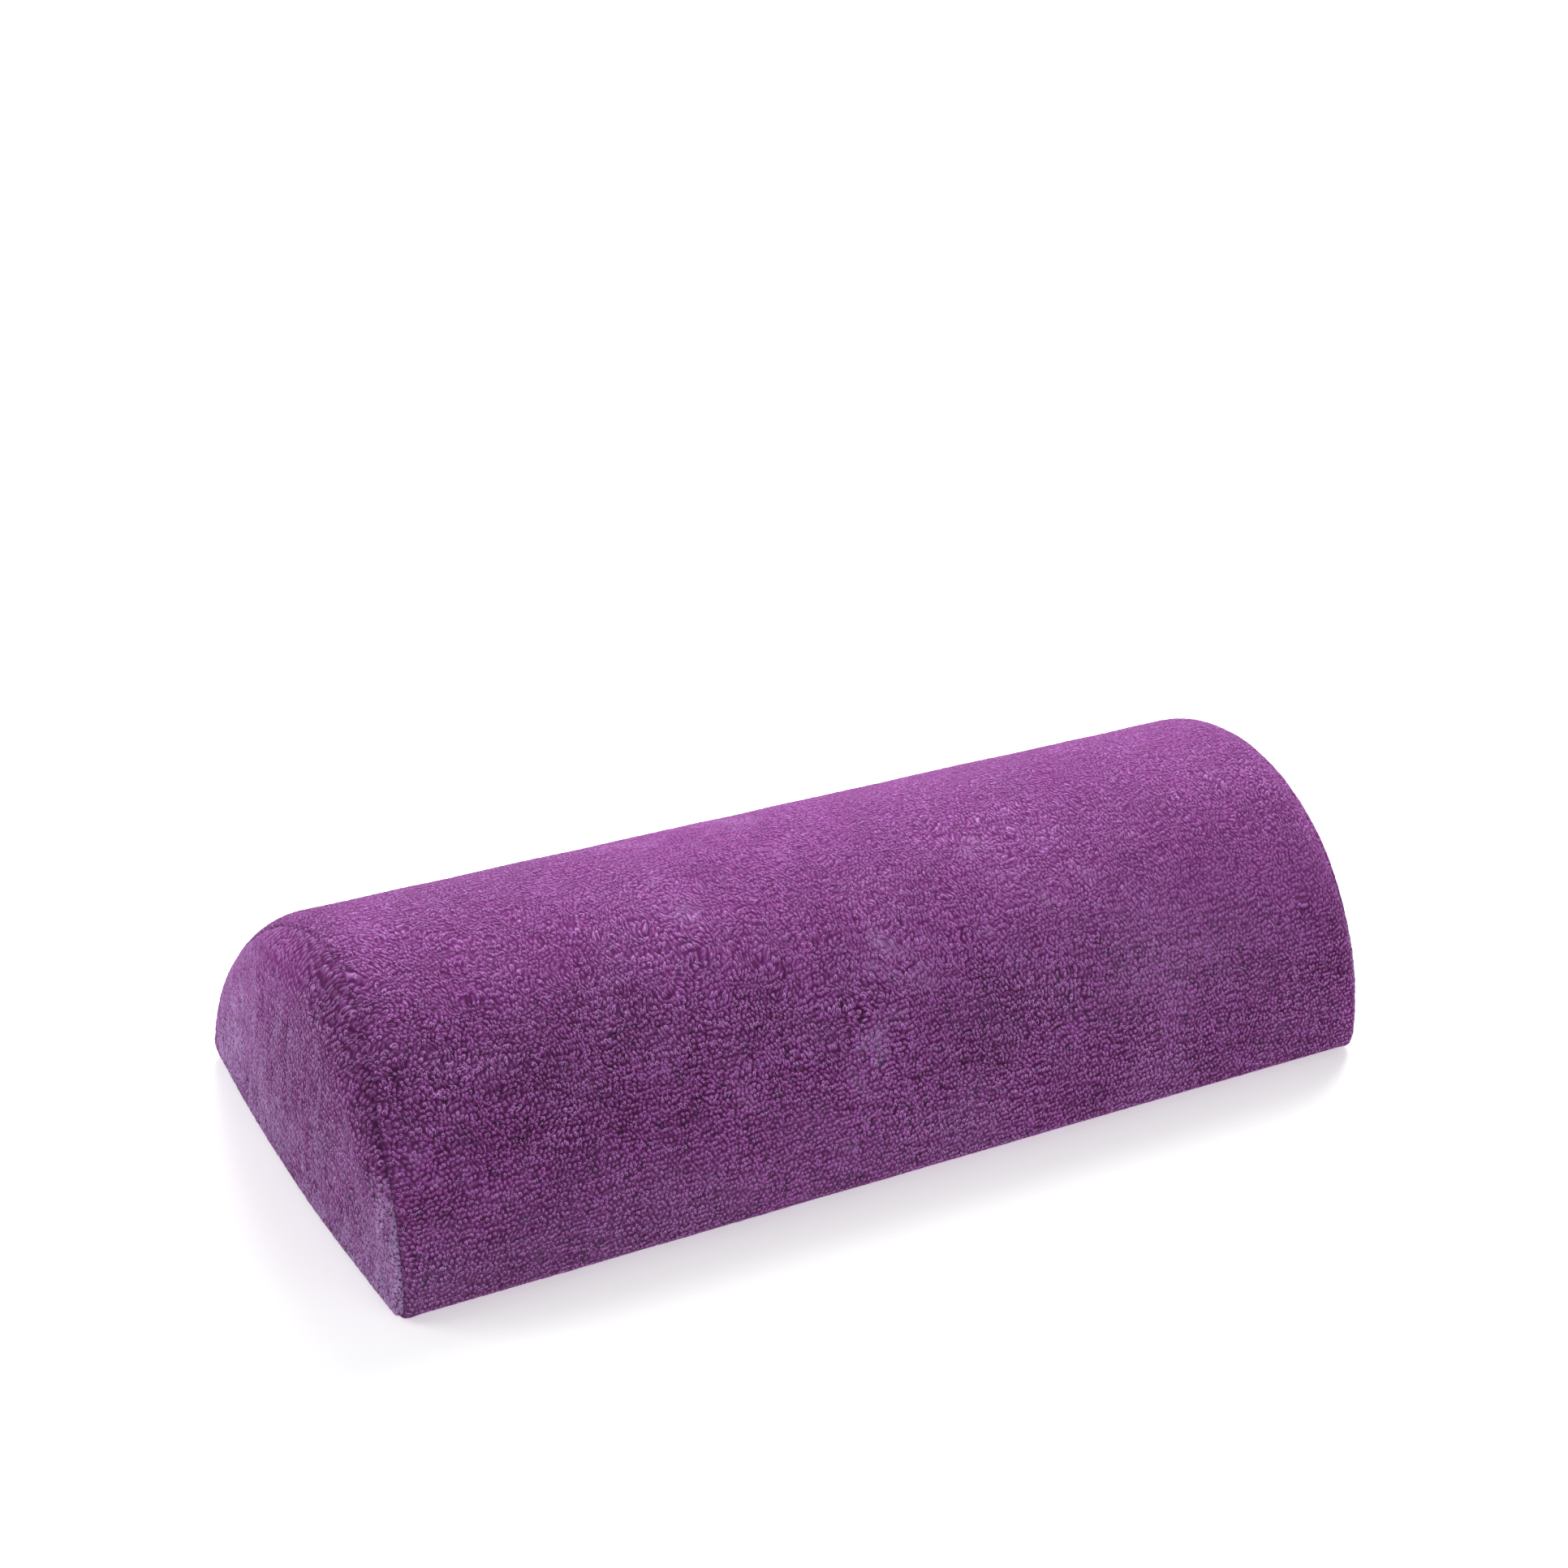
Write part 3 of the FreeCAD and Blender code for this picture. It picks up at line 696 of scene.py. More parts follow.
def normals_of(points, closed=False):
    along = np.gradient(points, axis=0)
    if closed:
        across = (np.roll(points, -1, 1) - np.roll(points, 1, 1)) / 2
    else:
        across = np.gradient(points, axis=1)
    normal = np.cross(along, across)
    return normal / np.maximum(np.linalg.norm(normal, axis=-1, keepdims=True), 1e-9)


def turn_to_seam(normal, at_seam, distance):
    """Blend the surface normal into the seam's normal near the seam."""
    k = smoothstep(distance, 0.0, 1.6)[..., None]
    normal = at_seam * (1 - k) + normal * k
    return normal / np.linalg.norm(normal, axis=-1, keepdims=True)


def nap(cloth, u, v, lean, turn):
    """Cosine and sine of the nap's turn, its lean and its tone, about the given lean and turn."""
    flow_u, flow_v = cloth.get("flow_u", u, v), cloth.get("flow_v", u, v)
    turn = turn + 0.75 * np.arctan2(flow_v, np.abs(flow_u) + 1.2)
    lean = np.clip(lean + 0.35 * cloth.get("lean", u, v), 0, 1.4)
    tone = np.clip(cloth.get("tone", u, v) * 0.5, -1, 1)
    return np.cos(turn), np.sin(turn), lean, tone


def loop_relief(a, b, cos_turn, sin_turn, lean):
    mound, arch = loops(a, b, cos_turn, sin_turn, lean)
    return (mound * 0.8 + arch * 0.2) * PILE


# ---------------------------------------------------------------------------
# Wrap panel
# ---------------------------------------------------------------------------


def spaced(start, end, step):
    """Even stations without the last, their number a multiple of three."""
    count = max(1, int(round((end - start) / step / 3.0))) * 3
    return np.linspace(start, end, count + 1)[:-1]


def nearest(values, target):
    return int(np.argmin(np.abs(values - target)))


BARREL_X = 150.0            # up to here the stations along x are true x
END_SPAN = 25.0             # nominal stretch beyond, fitted to the seam
BASE_EDGE = WIDTH / 2 - CORNER - 3.0
AROUND = np.concatenate([
    spaced(0, SLOT_Y, 0.7),
    spaced(SLOT_Y, BASE_EDGE, 1.0),
    spaced(BASE_EDGE, PERIMETER - BASE_EDGE, PILE_STEP),
    spaced(PERIMETER - BASE_EDGE, PERIMETER - SLOT_Y, 1.0),
    spaced(PERIMETER - SLOT_Y, PERIMETER, 0.7)])
END_STEPS = np.linspace(0, 1, 46)
ALONG = np.concatenate([
    -BARREL_X - END_STEPS[:0:-1] * END_SPAN,
    spaced(-BARREL_X, -SLOT_X, PILE_STEP),
    spaced(-SLOT_X, SLOT_X, PILE_STEP),
    spaced(SLOT_X, BARREL_X, PILE_STEP),
    [BARREL_X],
    BARREL_X + END_STEPS[1:] * END_SPAN])
# Grid lines along the four sides of the zip opening
SLOT_FRONT, SLOT_REAR = nearest(AROUND, SLOT_Y), nearest(AROUND, PERIMETER - SLOT_Y)
SLOT_LEFT, SLOT_RIGHT = nearest(ALONG, -SLOT_X), nearest(ALONG, SLOT_X)


def wrap_surface(along, around, inset):
    """Points of the wrap, their distance to the end seam, and z on the plain section."""
    y0, z0, ny, nz = section(around)
    radius = edge_radius(z0)
    seam_x = HALF_LENGTH - set_back(z0)
    seam_draw = arc_drop(radius, np.clip(radius - set_back(z0), 0, None))
    bulge = crown(y0 - ny * seam_draw, z0 - nz * seam_draw)
    station = np.abs(along)[:, None]
    t = np.clip((station - BARREL_X) / END_SPAN, 0, 1)
    x = np.where(station <= BARREL_X, station, BARREL_X + t * (seam_x - BARREL_X))
    z_plain = np.broadcast_to(z0, x.shape)
    draw = rounding(x, z_plain) + inset
    to_seam = seam_x - x
    x = (x + t * bulge) * np.sign(along)[:, None]
    return np.stack([x, y0 - ny * draw, z0 - nz * draw], -1), to_seam, z_plain


def wrap_relief(cloth, u, around, to_seam, under, low, loop_height):
    """Height to raise the wrap along its normal; under is 1 on the flat base."""
    # the cloth turns inwards at the seam, puckered beside it
    valley = (0.26 + 0.3 * low) * bell(to_seam, 0.6)
    swell = 0.12 * smoothstep(to_seam, 0, 1.5) * bell(to_seam - 3.0, 2.4)
    swell = (swell + pucker(around) * np.exp(-to_seam / 3.5)) * (1 - under)
    soft = 0.07 * cloth.get("lift", u, around) * (1 - under) * smoothstep(to_seam, 0, 4)
    press = 0.55 * under * smoothstep(to_seam, 0.0, 6.0)
    height = loop_height * smoothstep(to_seam, 0.0, 0.9) * (1 - 0.55 * under)
    return height - 0.3 * PILE + swell + soft - valley - press


def shape_underside(points, z_plain):
    """Work the zip's surroundings into the base; returns where the long edges are joined."""
    roll_radius = 2.3
    channel_y, channel_end = 10.5, 143.0
    x, y, z = np.abs(points[..., 0]), points[..., 1], points[..., 2]
    base = z_plain < 0.5
    # the edges beside the zip roll in
    t = np.clip((SLOT_Y + roll_radius - np.abs(y)) / roll_radius, 0, 1)
    roll = np.where(base & (x < SLOT_X + 0.01), arc_drop(roll_radius, t * roll_radius), 0)
    z += roll * smoothstep(SLOT_X + 0.5 - x, 0.0, 3.0)
    # sewn channels beside the zip and across its ends
    for line in (channel_y, -channel_y):
        z += 1.3 * bell(y - line, 0.75) * (x < channel_end) * base
    z += 1.2 * bell(x - channel_end, 0.95) * smoothstep(11.5 - np.abs(y), 0, 2) * base
    # never below the table
    z[:] = np.maximum(z, 0.02)
    # beyond the zip the two long edges are sewn to each other
    join = bell(y - 0.35, 0.6) * smoothstep(x, 144.5, 146.0) * (z_plain < 1.5)
    z += 0.7 * join
    return join


def opening_mask(rows, columns, coarseness):
    """False where the zip opening is cut out of a wrap grid."""
    keep = np.ones((rows - 1, columns), bool)
    span = slice(SLOT_LEFT // coarseness, SLOT_RIGHT // coarseness)
    keep[span, :SLOT_FRONT // coarseness] = False
    keep[span, SLOT_REAR // coarseness:] = False
    return keep


def add_wrap_outside(builder):
    rows, columns = len(ALONG), len(AROUND)
    cloth = Cloth(2 * HALF_LENGTH + 4, PERIMETER, 3)
    points, to_seam, z_plain = wrap_surface(ALONG, AROUND, 0.0)
    x, y = points[..., 0].copy(), points[..., 1].copy()
    u = x + HALF_LENGTH + 2
    v = np.broadcast_to(AROUND, u.shape)
    under = 1 - smoothstep(z_plain, 0.4, 5.0)             # 1 on the flat underside
    up = smoothstep(z_plain, 30, HEIGHT)                  # 1 at the crest
    low = 1 - smoothstep(z_plain, 50.0, 80.0)             # the seam sinks in less higher up

    cos_turn, sin_turn, lean, tone = nap(cloth, u, v, lean=0.25 + 0.65 * up, turn=0.35 * up)
    # a broad patch, front right, where the nap lies brighter
    bright = np.exp(-((x - 100.0) / 36.0) ** 2 - ((z_plain - 50.0) / 15.0) ** 2) * (y < 0)
    tone = np.clip(tone + 0.9 * bright, -1, 1)
    # more fluff low down towards the left end
    worn = (1 - smoothstep(z_plain, 15, 45)) * (1 - smoothstep(x, -60, 80))
    wander = 0.6 + 0.9 * up
    a = u / LOOP_PITCH + cloth.get("wander_u", u, v) * wander
    b = v / ROW_PITCH + cloth.get("wander_v", u, v) * wander

    at_seam = seam_normal(AROUND, section(AROUND)[1])[None]
    at_seam = at_seam * vectors(np.sign(ALONG), 1, 1)[:, None, :]
    normal = turn_to_seam(normals_of(points, True), at_seam, to_seam)
    relief = wrap_relief(cloth, u, v, to_seam, under, low,
                         loop_relief(a, b, cos_turn, sin_turn, lean))
    points = points + normal * relief[..., None]
    join = shape_underside(points, z_plain)

    # painted shade in the seam's crease and beside it, and along the sewn join beyond the zip
    seam = bell(to_seam, 0.8) * (0.1 + 0.42 * low) + 0.14 * low * np.exp(-to_seam / 3.5)
    seam = np.clip(seam + 0.75 * join, 0, 1)
    fluff = np.clip(cloth.get("tone", u, v) * 0.3 - 0.42, 0, 1) + 0.17 * bright + 0.08 * worn
    quads, uv = grid_faces(rows, columns, True, opening_mask(rows, columns, 1))
    builder.add(points, quads, uv_band(uv, 0.9), {
        "loop": vectors(a, b, lean),
        "flow": vectors(cos_turn, sin_turn, tone),
        "place": vectors(seam, 0, fluff)})


def add_wrap_inside(builder):
    """Inside face, on every third grid line each way."""
    around = AROUND[::3]
    points, _, z_plain = wrap_surface(ALONG[::3], around, CLOTH)
    rows, columns = points.shape[:2]
    # beside the zip the inside face stands at the tape
    hem = ((z_plain < 0.5) & (np.abs(points[..., 1]) < 18.3)
           & (np.abs(points[..., 0]) < SLOT_X + 6))
    points[..., 2] = np.where(hem, TAPE_Z - 0.07, points[..., 2])
    quads, uv = grid_faces(rows, columns, True, opening_mask(rows, columns, 3), flip=True)
    u = points[..., 0] + HALF_LENGTH + 2
    return builder.add(points, quads, uv_band(uv, 0.1, 0.9), {
        "loop": vectors(u / LOOP_PITCH * 1.6, around / ROW_PITCH * 1.6, 0),
        "flow": (1, 0, -0.5),
        # painted shade on the inside face
        "place": (0.3, 0, 0)})


def build_wrap():
    builder = Builder()
    add_wrap_outside(builder)
    inner_start = add_wrap_inside(builder)
    rows, columns = len(ALONG), len(AROUND)
    all_round = [k % columns for k in range(columns + 1)]
    slot_rows = range(SLOT_LEFT, SLOT_RIGHT + 1)
    slot_columns = list(range(SLOT_REAR, columns)) + list(range(SLOT_FRONT + 1))
    # rims between outside and inside: path, UV spot, flipped or not
    rims = (
        ([(0, k) for k in all_round], 0.001, False),
        ([(rows - 1, k) for k in all_round], 0.001, True),
        ([(i, SLOT_FRONT) for i in slot_rows], 0.999, False),
        ([(i, SLOT_REAR) for i in slot_rows], 0.999, True),
        ([(SLOT_LEFT, k) for k in slot_columns], 0.999, True),
        ([(SLOT_RIGHT, k) for k in slot_columns], 0.999, False),
    )
    for path, uv, flip in rims:
        builder.bridge(path, columns, inner_start, columns // 3, uv, flip)
    ob = builder.make("terry_wrap", TERRY)
    stand_in(ob, "wrap_panel")
    return ob


# ---------------------------------------------------------------------------
# End panels
# ---------------------------------------------------------------------------
END_ROWS, END_COLUMNS = 214, 148     # each one more than a multiple of three


def coons(bottom, right, top, left, rows, columns):
    """Coons patch; bottom and top run front to rear, left and right run upwards."""
    def resample(line, count):
        s = np.concatenate([[0], np.cumsum(np.hypot(*np.diff(line, axis=0).T))])
        t = np.linspace(0, s[-1], count)
        return np.stack([np.interp(t, s, line[:, 0]), np.interp(t, s, line[:, 1])], -1)
    bottom, top = resample(bottom, rows), resample(top, rows)
    right, left = resample(right, columns), resample(left, columns)
    u = np.linspace(0, 1, rows)[:, None, None]
    v = np.linspace(0, 1, columns)[None, :, None]
    patch = (1 - v) * bottom[:, None] + v * top[:, None] + (1 - u) * left[None] + u * right[None]
    return patch - ((1 - u) * (1 - v) * bottom[0] + u * (1 - v) * bottom[-1]
                    + (1 - u) * v * top[0] + u * v * top[-1])


def end_grid():
    """y, z grid filling the D, tucked a little under the wrap's edge."""
    tuck = 0.4
    corner_reach = 72.0              # from a base corner up to the patch's upper corner
    arc = np.linspace(0, PERIMETER, 2400, endpoint=False)
    y0, z0, ny, nz = section(arc)
    radius = edge_radius(z0)
    inset = arc_drop(radius, np.clip(radius - (set_back(z0) + tuck), 0, radius * 0.999))
    line = np.stack([y0 - ny * inset, z0 - nz * inset], -1)

    def base_corner(side):
        off = np.abs(y0 - side * (WIDTH / 2 - CORNER * 0.4)) + np.abs(z0 - CORNER * 0.35)
        return int(np.argmin(off))
    front, rear = base_corner(-1), base_corner(1)
    front_top = nearest(arc, arc[front] + corner_reach)
    rear_top = nearest(arc, arc[rear] - corner_reach)
    front_side = line[front:front_top + 1]
    top = line[front_top:rear_top + 1]
    rear_side = line[rear_top:rear + 1][::-1]
    bottom = np.concatenate([line[:front + 1][::-1], line[rear:][::-1]])
    return coons(bottom, rear_side, top, front_side, END_ROWS, END_COLUMNS)


def end_surface(y, z):
    """x of the +x end over y and z; distance, z and arc length of the nearest outline point."""
    samples, block = 900, 60
    arc = np.linspace(0, PERIMETER, samples, endpoint=False)
    y0, z0, _, _ = section(arc)
    flat_y, flat_z = y.ravel()[:, None], z.ravel()[:, None]
    best = np.full(y.size, 1e9)
    index = np.zeros(y.size, int)
    # in blocks, to keep the distance tables small
    for k in range(0, samples, block):
        away = np.hypot(flat_y - y0[None, k:k + block], flat_z - z0[None, k:k + block])
        j = away.argmin(1)
        distance = away[np.arange(y.size), j]
        closer = distance < best
        best = np.where(closer, distance, best)
        index = np.where(closer, k + j, index)
    distance, index = best.reshape(y.shape), index.reshape(y.shape)
    radius = edge_radius(z0[index])
    drop = arc_drop(radius, np.clip(radius - distance, 0, radius * 0.9999))
    return HALF_LENGTH - drop + crown(y, z), distance, z0[index], arc[index]


def build_end(side, name, node, seed):
    """End panel; side is -1 for the left, 1 for the right."""
    y, z = np.moveaxis(end_grid(), -1, 0)
    x, distance, rim_z, rim_arc = end_surface(y, z)
    points = np.stack([x, y, z], -1)
    margin = 3
    cloth = Cloth(WIDTH + 2 * margin, HEIGHT + 2 * margin, seed)
    u, v = y + WIDTH / 2 + margin, z + margin

    cos_turn, sin_turn, lean, tone = nap(cloth, u, v, lean=0.8, turn=0.25)
    # painted light: the rear half of each end, high up, lighter in tone and fluffier
    painted_light_rear_half = smoothstep(y, -5, 45) * smoothstep(z, 12, 40)
    tone = np.clip(tone + 0.8 * painted_light_rear_half, -1, 1)
    a = u / (LOOP_PITCH * 1.08) + cloth.get("wander_u", u, v) * 1.1
    b = v / (ROW_PITCH * 1.2) + cloth.get("wander_v", u, v) * 1.1

    # distance to the seam along the surface
    radius = edge_radius(rim_z)
    seam_in = arc_drop(radius, np.clip(radius - set_back(rim_z), 0, radius))
    to_seam = np.maximum(distance - seam_in, 0) * 1.35
    tuck = smoothstep(seam_in - distance, 0.0, 0.2)
    base_edge = 1 - smoothstep(z, 0.4, 5.0)
    low = 1 - smoothstep(rim_z, 50.0, 80.0)

    # the cloth dips at the seam, swells and puckers beside it, and lifts softly further in
    valley = (0.26 + 0.3 * low) * bell(to_seam, 0.42) + 0.22 * tuck
    swell = (0.12 + 0.16 * low) * smoothstep(to_seam, 0, 1.2) * bell(to_seam - 2.2, 2.2)
    swell = (swell + pucker(rim_arc) * np.exp(-to_seam / 3.5)) * (1 - base_edge)
    soft = 0.1 * cloth.get("lift", u, v) * smoothstep(to_seam, 0, 4)
    height = loop_relief(a, b, cos_turn, sin_turn, lean) * smoothstep(to_seam, 0.0, 0.9) * 0.9
    normal = turn_to_seam(normals_of(points), seam_normal(rim_arc, rim_z), to_seam)
    points = points + normal * (height - 0.3 * PILE + swell - valley + soft)[..., None]
    points[..., 2] = np.maximum(points[..., 2], 0.05)

    # towards the front the rim has painted shade high up and is paler low down
    dark = bell(to_seam, 10.0) * smoothstep(z, 34, 56) * smoothstep(-y, -25, 35)
    pale = bell(to_seam, 15.0) * (1 - smoothstep(z, 22, 48)) * smoothstep(-y, -10, 40)
    # painted shade: the seam's crease, and the band high up near the front
    seam = np.clip(bell(to_seam, 0.35) * (0.04 + 0.08 * low) + 0.26 * dark, 0, 1)
    # fluffier towards the base, and in the rear half as painted light
    fluff = cloth.get("fluff", u, v) * 0.24 + 0.26 + 0.74 * (0.42 - z / HEIGHT)
    fluff = np.clip(fluff + 0.26 * painted_light_rear_half - 0.4 * dark + 0.3 * pale, 0, 1)
    # painted sheen: greyer towards the base, where the end is seen at a grazing angle
    painted_sheen = np.clip(0.35 + 0.5 * (1 - z / HEIGHT), 0, 1)
    loop = vectors(a, b, lean)
    flow = vectors(cos_turn, sin_turn, tone)

    # inside face: shrunk about a point at 0.4 of the height, every third grid line
    middle = HEIGHT * 0.4
    inner = np.stack([x - CLOTH, y * (1 - CLOTH / WIDTH * 1.2),
                      (z - middle) * (1 - CLOTH / HEIGHT * 1.1) + middle], -1)[::3, ::3]
    points[..., 0] *= side
    inner[..., 0] *= side
    builder = Builder()
    quads, uv = grid_faces(END_ROWS, END_COLUMNS, flip=side < 0)
    builder.add(points, quads, uv_band(uv, 0.88),
                {"loop": loop, "flow": flow, "place": vectors(seam, painted_sheen, fluff)})
    quads, uv = grid_faces(*inner.shape[:2], flip=side > 0)
    inner_start = builder.add(inner, quads, uv_band(uv, 0.1, 0.9), {
        # painted shade on the inside face
        "loop": loop[::3, ::3] * 1.6, "flow": flow[::3, ::3], "place": (0.3, 0, 0)})

    last_row, last_column = END_ROWS - 1, END_COLUMNS - 1
    rim = ([(i, 0) for i in range(last_row)]
           + [(last_row, j) for j in range(last_column)]
           + [(i, last_column) for i in range(last_row, 0, -1)]
           + [(0, j) for j in range(last_column, -1, -1)])
    builder.bridge(rim, END_COLUMNS, inner_start, inner.shape[1], 0.999, side > 0)
    ob = builder.make(name, TERRY)
    stand_in(ob, node)
    return ob


# ---------------------------------------------------------------------------
# Foam core and its liner: the same section further in, grooved over the zip
# ---------------------------------------------------------------------------


def inner_rings(inset):
    """Barrel rings of the body at this inset, and the rings closing in over its +x end."""
    stations, samples = 120, 180
    arc = np.linspace(0, PERIMETER, samples, endpoint=False)
    y0, z0, ny, nz = section(arc)
    reach = inset + 1.8
    end_x = end_surface(y0 - ny * reach, z0 - nz * reach)[0] - inset
    # stations crowd towards the ends
    t = np.linspace(-1, 1, stations)
    t = np.sign(t) * (1 - (1 - np.abs(t)) ** 1.35)
    x = t[:, None] * end_x[None, :]
    draw = inset + rounding(np.abs(x) + inset * 0.9, np.broadcast_to(z0, x.shape))
    y, z = y0 - ny * draw, z0 - nz * draw
    deeper = inset - GROOVE_INSET
    roof = GROOVE_Z + deeper
    over = (smoothstep(GROOVE_Y + deeper + 1.0 - np.abs(y), 0, 1.6)
            * smoothstep(GROOVE_X + 1.0 - np.abs(x), 0, 2.0))
    z = np.where(z < roof, z + (roof - z) * over, z)
    # end rings shrink towards a point at 0.42 of the height
    k = np.linspace(0, 0.985, 16)[:, None]
    cap_y = y[-1] * (1 - k)
    cap_z = z[-1] * (1 - k) + 0.42 * HEIGHT * k
    cap_x = end_surface(cap_y, cap_z)[0] - inset
    blend = np.clip(k * 6, 0, 1)
    cap_x = x[-1] * (1 - blend) + cap_x * blend
    return np.stack([x, y, z], -1), np.stack([cap_x, cap_y, cap_z], -1)


def build_foam():
    barrel, cap = inner_rings(6.0)
    left_cap = cap[::-1] * np.array([-1, 1, 1])
    rings = np.concatenate([left_cap[:-1], barrel, cap[1:]])
    rows, columns = rings.shape[:2]
    lump = noise_field(rows, columns, 2.0, 7.0, 7.0, 51) * 0.12
    rings[..., 2] += lump * (rings[..., 2] > 12)
    builder = Builder()
    quads, uv = grid_faces(rows, columns, True)
    builder.add(rings, quads, uv * 0.98)
    for row, flip in ((0, True), (rows - 1, False)):
        builder.cap(row, columns, rings[row].mean(0), 0.995, flip)
    ob = builder.make("foam_block", FOAM)
    stand_in(ob, "foam_core")
    outward(ob)


def liner_shell(name, outer, inner, node):
    """Thin shell between two grids of one shape, closed in the second direction."""
    rows, columns = outer.shape[:2]
    builder = Builder()
    quads, uv = grid_faces(rows, columns, True)
    builder.add(outer, quads, uv_band(uv, 0.48))
    quads, uv = grid_faces(rows, columns, True, flip=True)
    start = builder.add(inner, quads, uv_band(uv, 0.48, 0.5))
    j = np.arange(columns)
    following = (j + 1) % columns
    for row, flip in ((0, False), (rows - 1, True)):
        first = row * columns
        rim = np.stack([first + j, first + following,
                        start + first + following, start + first + j], -1)
        builder.add_faces(rim[:, ::-1] if flip else rim, 0.995)
    ob = builder.make(name, LINER)
    stand_in(ob, node)
    outward(ob)


def build_liner():
    outer, outer_cap = inner_rings(5.05)
    inner, inner_cap = inner_rings(5.6)
    liner_shell("knit_liner_wrap", outer, inner, "liner_wrap")
    for side, word in ((1, "right"), (-1, "left")):
        mirror = np.array([side, 1, 1])
        gap = np.array([side * 0.12, 0, 0])
        liner_shell(f"knit_liner_{word}_end", outer_cap * mirror + gap,
                    inner_cap * mirror + gap, f"liner_{word}_end")


# ---------------------------------------------------------------------------
# Zip; side is -1 for the front half, 1 for the rear
# ---------------------------------------------------------------------------


def build_tape(node, side):
    """Woven tape: a thin band with a corded free edge, drawn together near its ends."""
    low, high = box_mm(node)
    edges = sorted((abs(float(low[1])), abs(float(high[1]))))
    inner_y, outer_y = edges
    width = outer_y - inner_y
    bottom, top = float(low[2]), float(high[2]) - 0.15
    rows = int(round((high[0] - low[0]) / 0.7 / 3)) * 3 + 1
    x = np.linspace(low[0], high[0], rows)
    inner = inner_y - (inner_y - 0.14) * smoothstep(np.abs(x), 131.5, 134.0)
    # stations across the tape, from its inner edge
    across = np.concatenate([[0.0, 0.18],
                             0.18 + np.linspace(0, 1, 27)[1:-1] * (width - 0.5 - 0.18),
                             [width - 0.3, width - 0.06]])
    rib = (0.03 * np.sin(across * 2 * math.pi / 1.15)[None, :]
           + 0.018 * np.sin(x * 2 * math.pi / 1.4)[:, None])
    rib = rib * smoothstep(across, 0.0, 0.8) * (1 - smoothstep(across, width - 1.0, width - 0.4))
    cord = 0.12 * bell(across - (width - 0.55), 0.4)
    thin = np.where((across < 0.1) | (across > width - 0.1), 0.14, 0.0)
    squeeze = (outer_y - inner)[:, None] / width
    face_y = outer_y - (width - across)[None, :] * squeeze
    under = bottom + thin - rib + 0.02
    over = top - thin + rib - 0.02 + cord
    y = np.hstack([face_y, np.full((rows, 1), outer_y), face_y[:, ::-1]])
    z = np.hstack([under, np.full((rows, 1), (bottom + top) / 2), over[:, ::-1]])
    points = vectors(x[:, None], side * y, z)
    columns = y.shape[1]
    builder = Builder()
    quads, uv = grid_faces(rows, columns, True)
    builder.add(points, quads, uv_band(uv, 0.97))
    for row in (0, rows - 1):
        builder.cap(row, columns, points[row].mean(0), 0.99)
    ob = builder.make(node.replace("zip_tape", "woven_tape"), TAPE)
    stand_in(ob, node)
    outward(ob)


def coil_path(low, high, side, progress, pitch, wire):
    """Centre line of a coil; progress counts turns from the middle of the outer bend."""
    half_straight, bend = 0.75, 0.6
    inner_gap, opening = 0.95, 1.7      # the row's offset in y, and what the open chain adds
    slider_low, slider_high = box_mm("zip_slider")
    slider_x = float(slider_low[0] + slider_high[0]) / 2
    part = progress % 1.0
    # once round a flattened ring: half bend, straight, full bend, straight, half bend
    quarter, straight = math.pi * bend / 2, 2 * half_straight
    run = part * (2 * straight + 4 * quarter)
    bend1 = np.clip(run, 0, quarter) / bend
    straight1 = np.clip(run - quarter, 0, straight)
    bend2 = np.clip(run - quarter - straight, 0, 2 * quarter) / bend
    straight2 = np.clip(run - 3 * quarter - straight, 0, straight)
    bend3 = np.clip(run - 3 * quarter - 2 * straight, 0, quarter) / bend
    y = (half_straight + bend * np.cos(bend1) - straight1 - bend * np.sin(bend2)
         + straight2 + bend * np.sin(bend3))
    z = -bend * np.sin(bend1) + bend * (1 - np.cos(bend2)) - bend * (1 - np.cos(bend3))
    # it steps on to the next turn at the outer bend
    leave = 1 - np.sin(math.pi / 2 * np.clip(part / 0.22, 0, 1))
    arrive = 1 - np.sin(math.pi / 2 * np.clip((1 - part) / 0.22, 0, 1))
    start = float(low[0]) + wire
    x = start + pitch * (np.floor(progress) + 0.5 * (arrive - leave))
    even_x = start + pitch * (progress - 0.5)
    offset = inner_gap + opening * smoothstep(even_x, slider_x - 4.2, slider_x + 0.4)
    return np.stack([x, side * (offset + y), float(low[2] + high[2]) / 2 + z], -1)


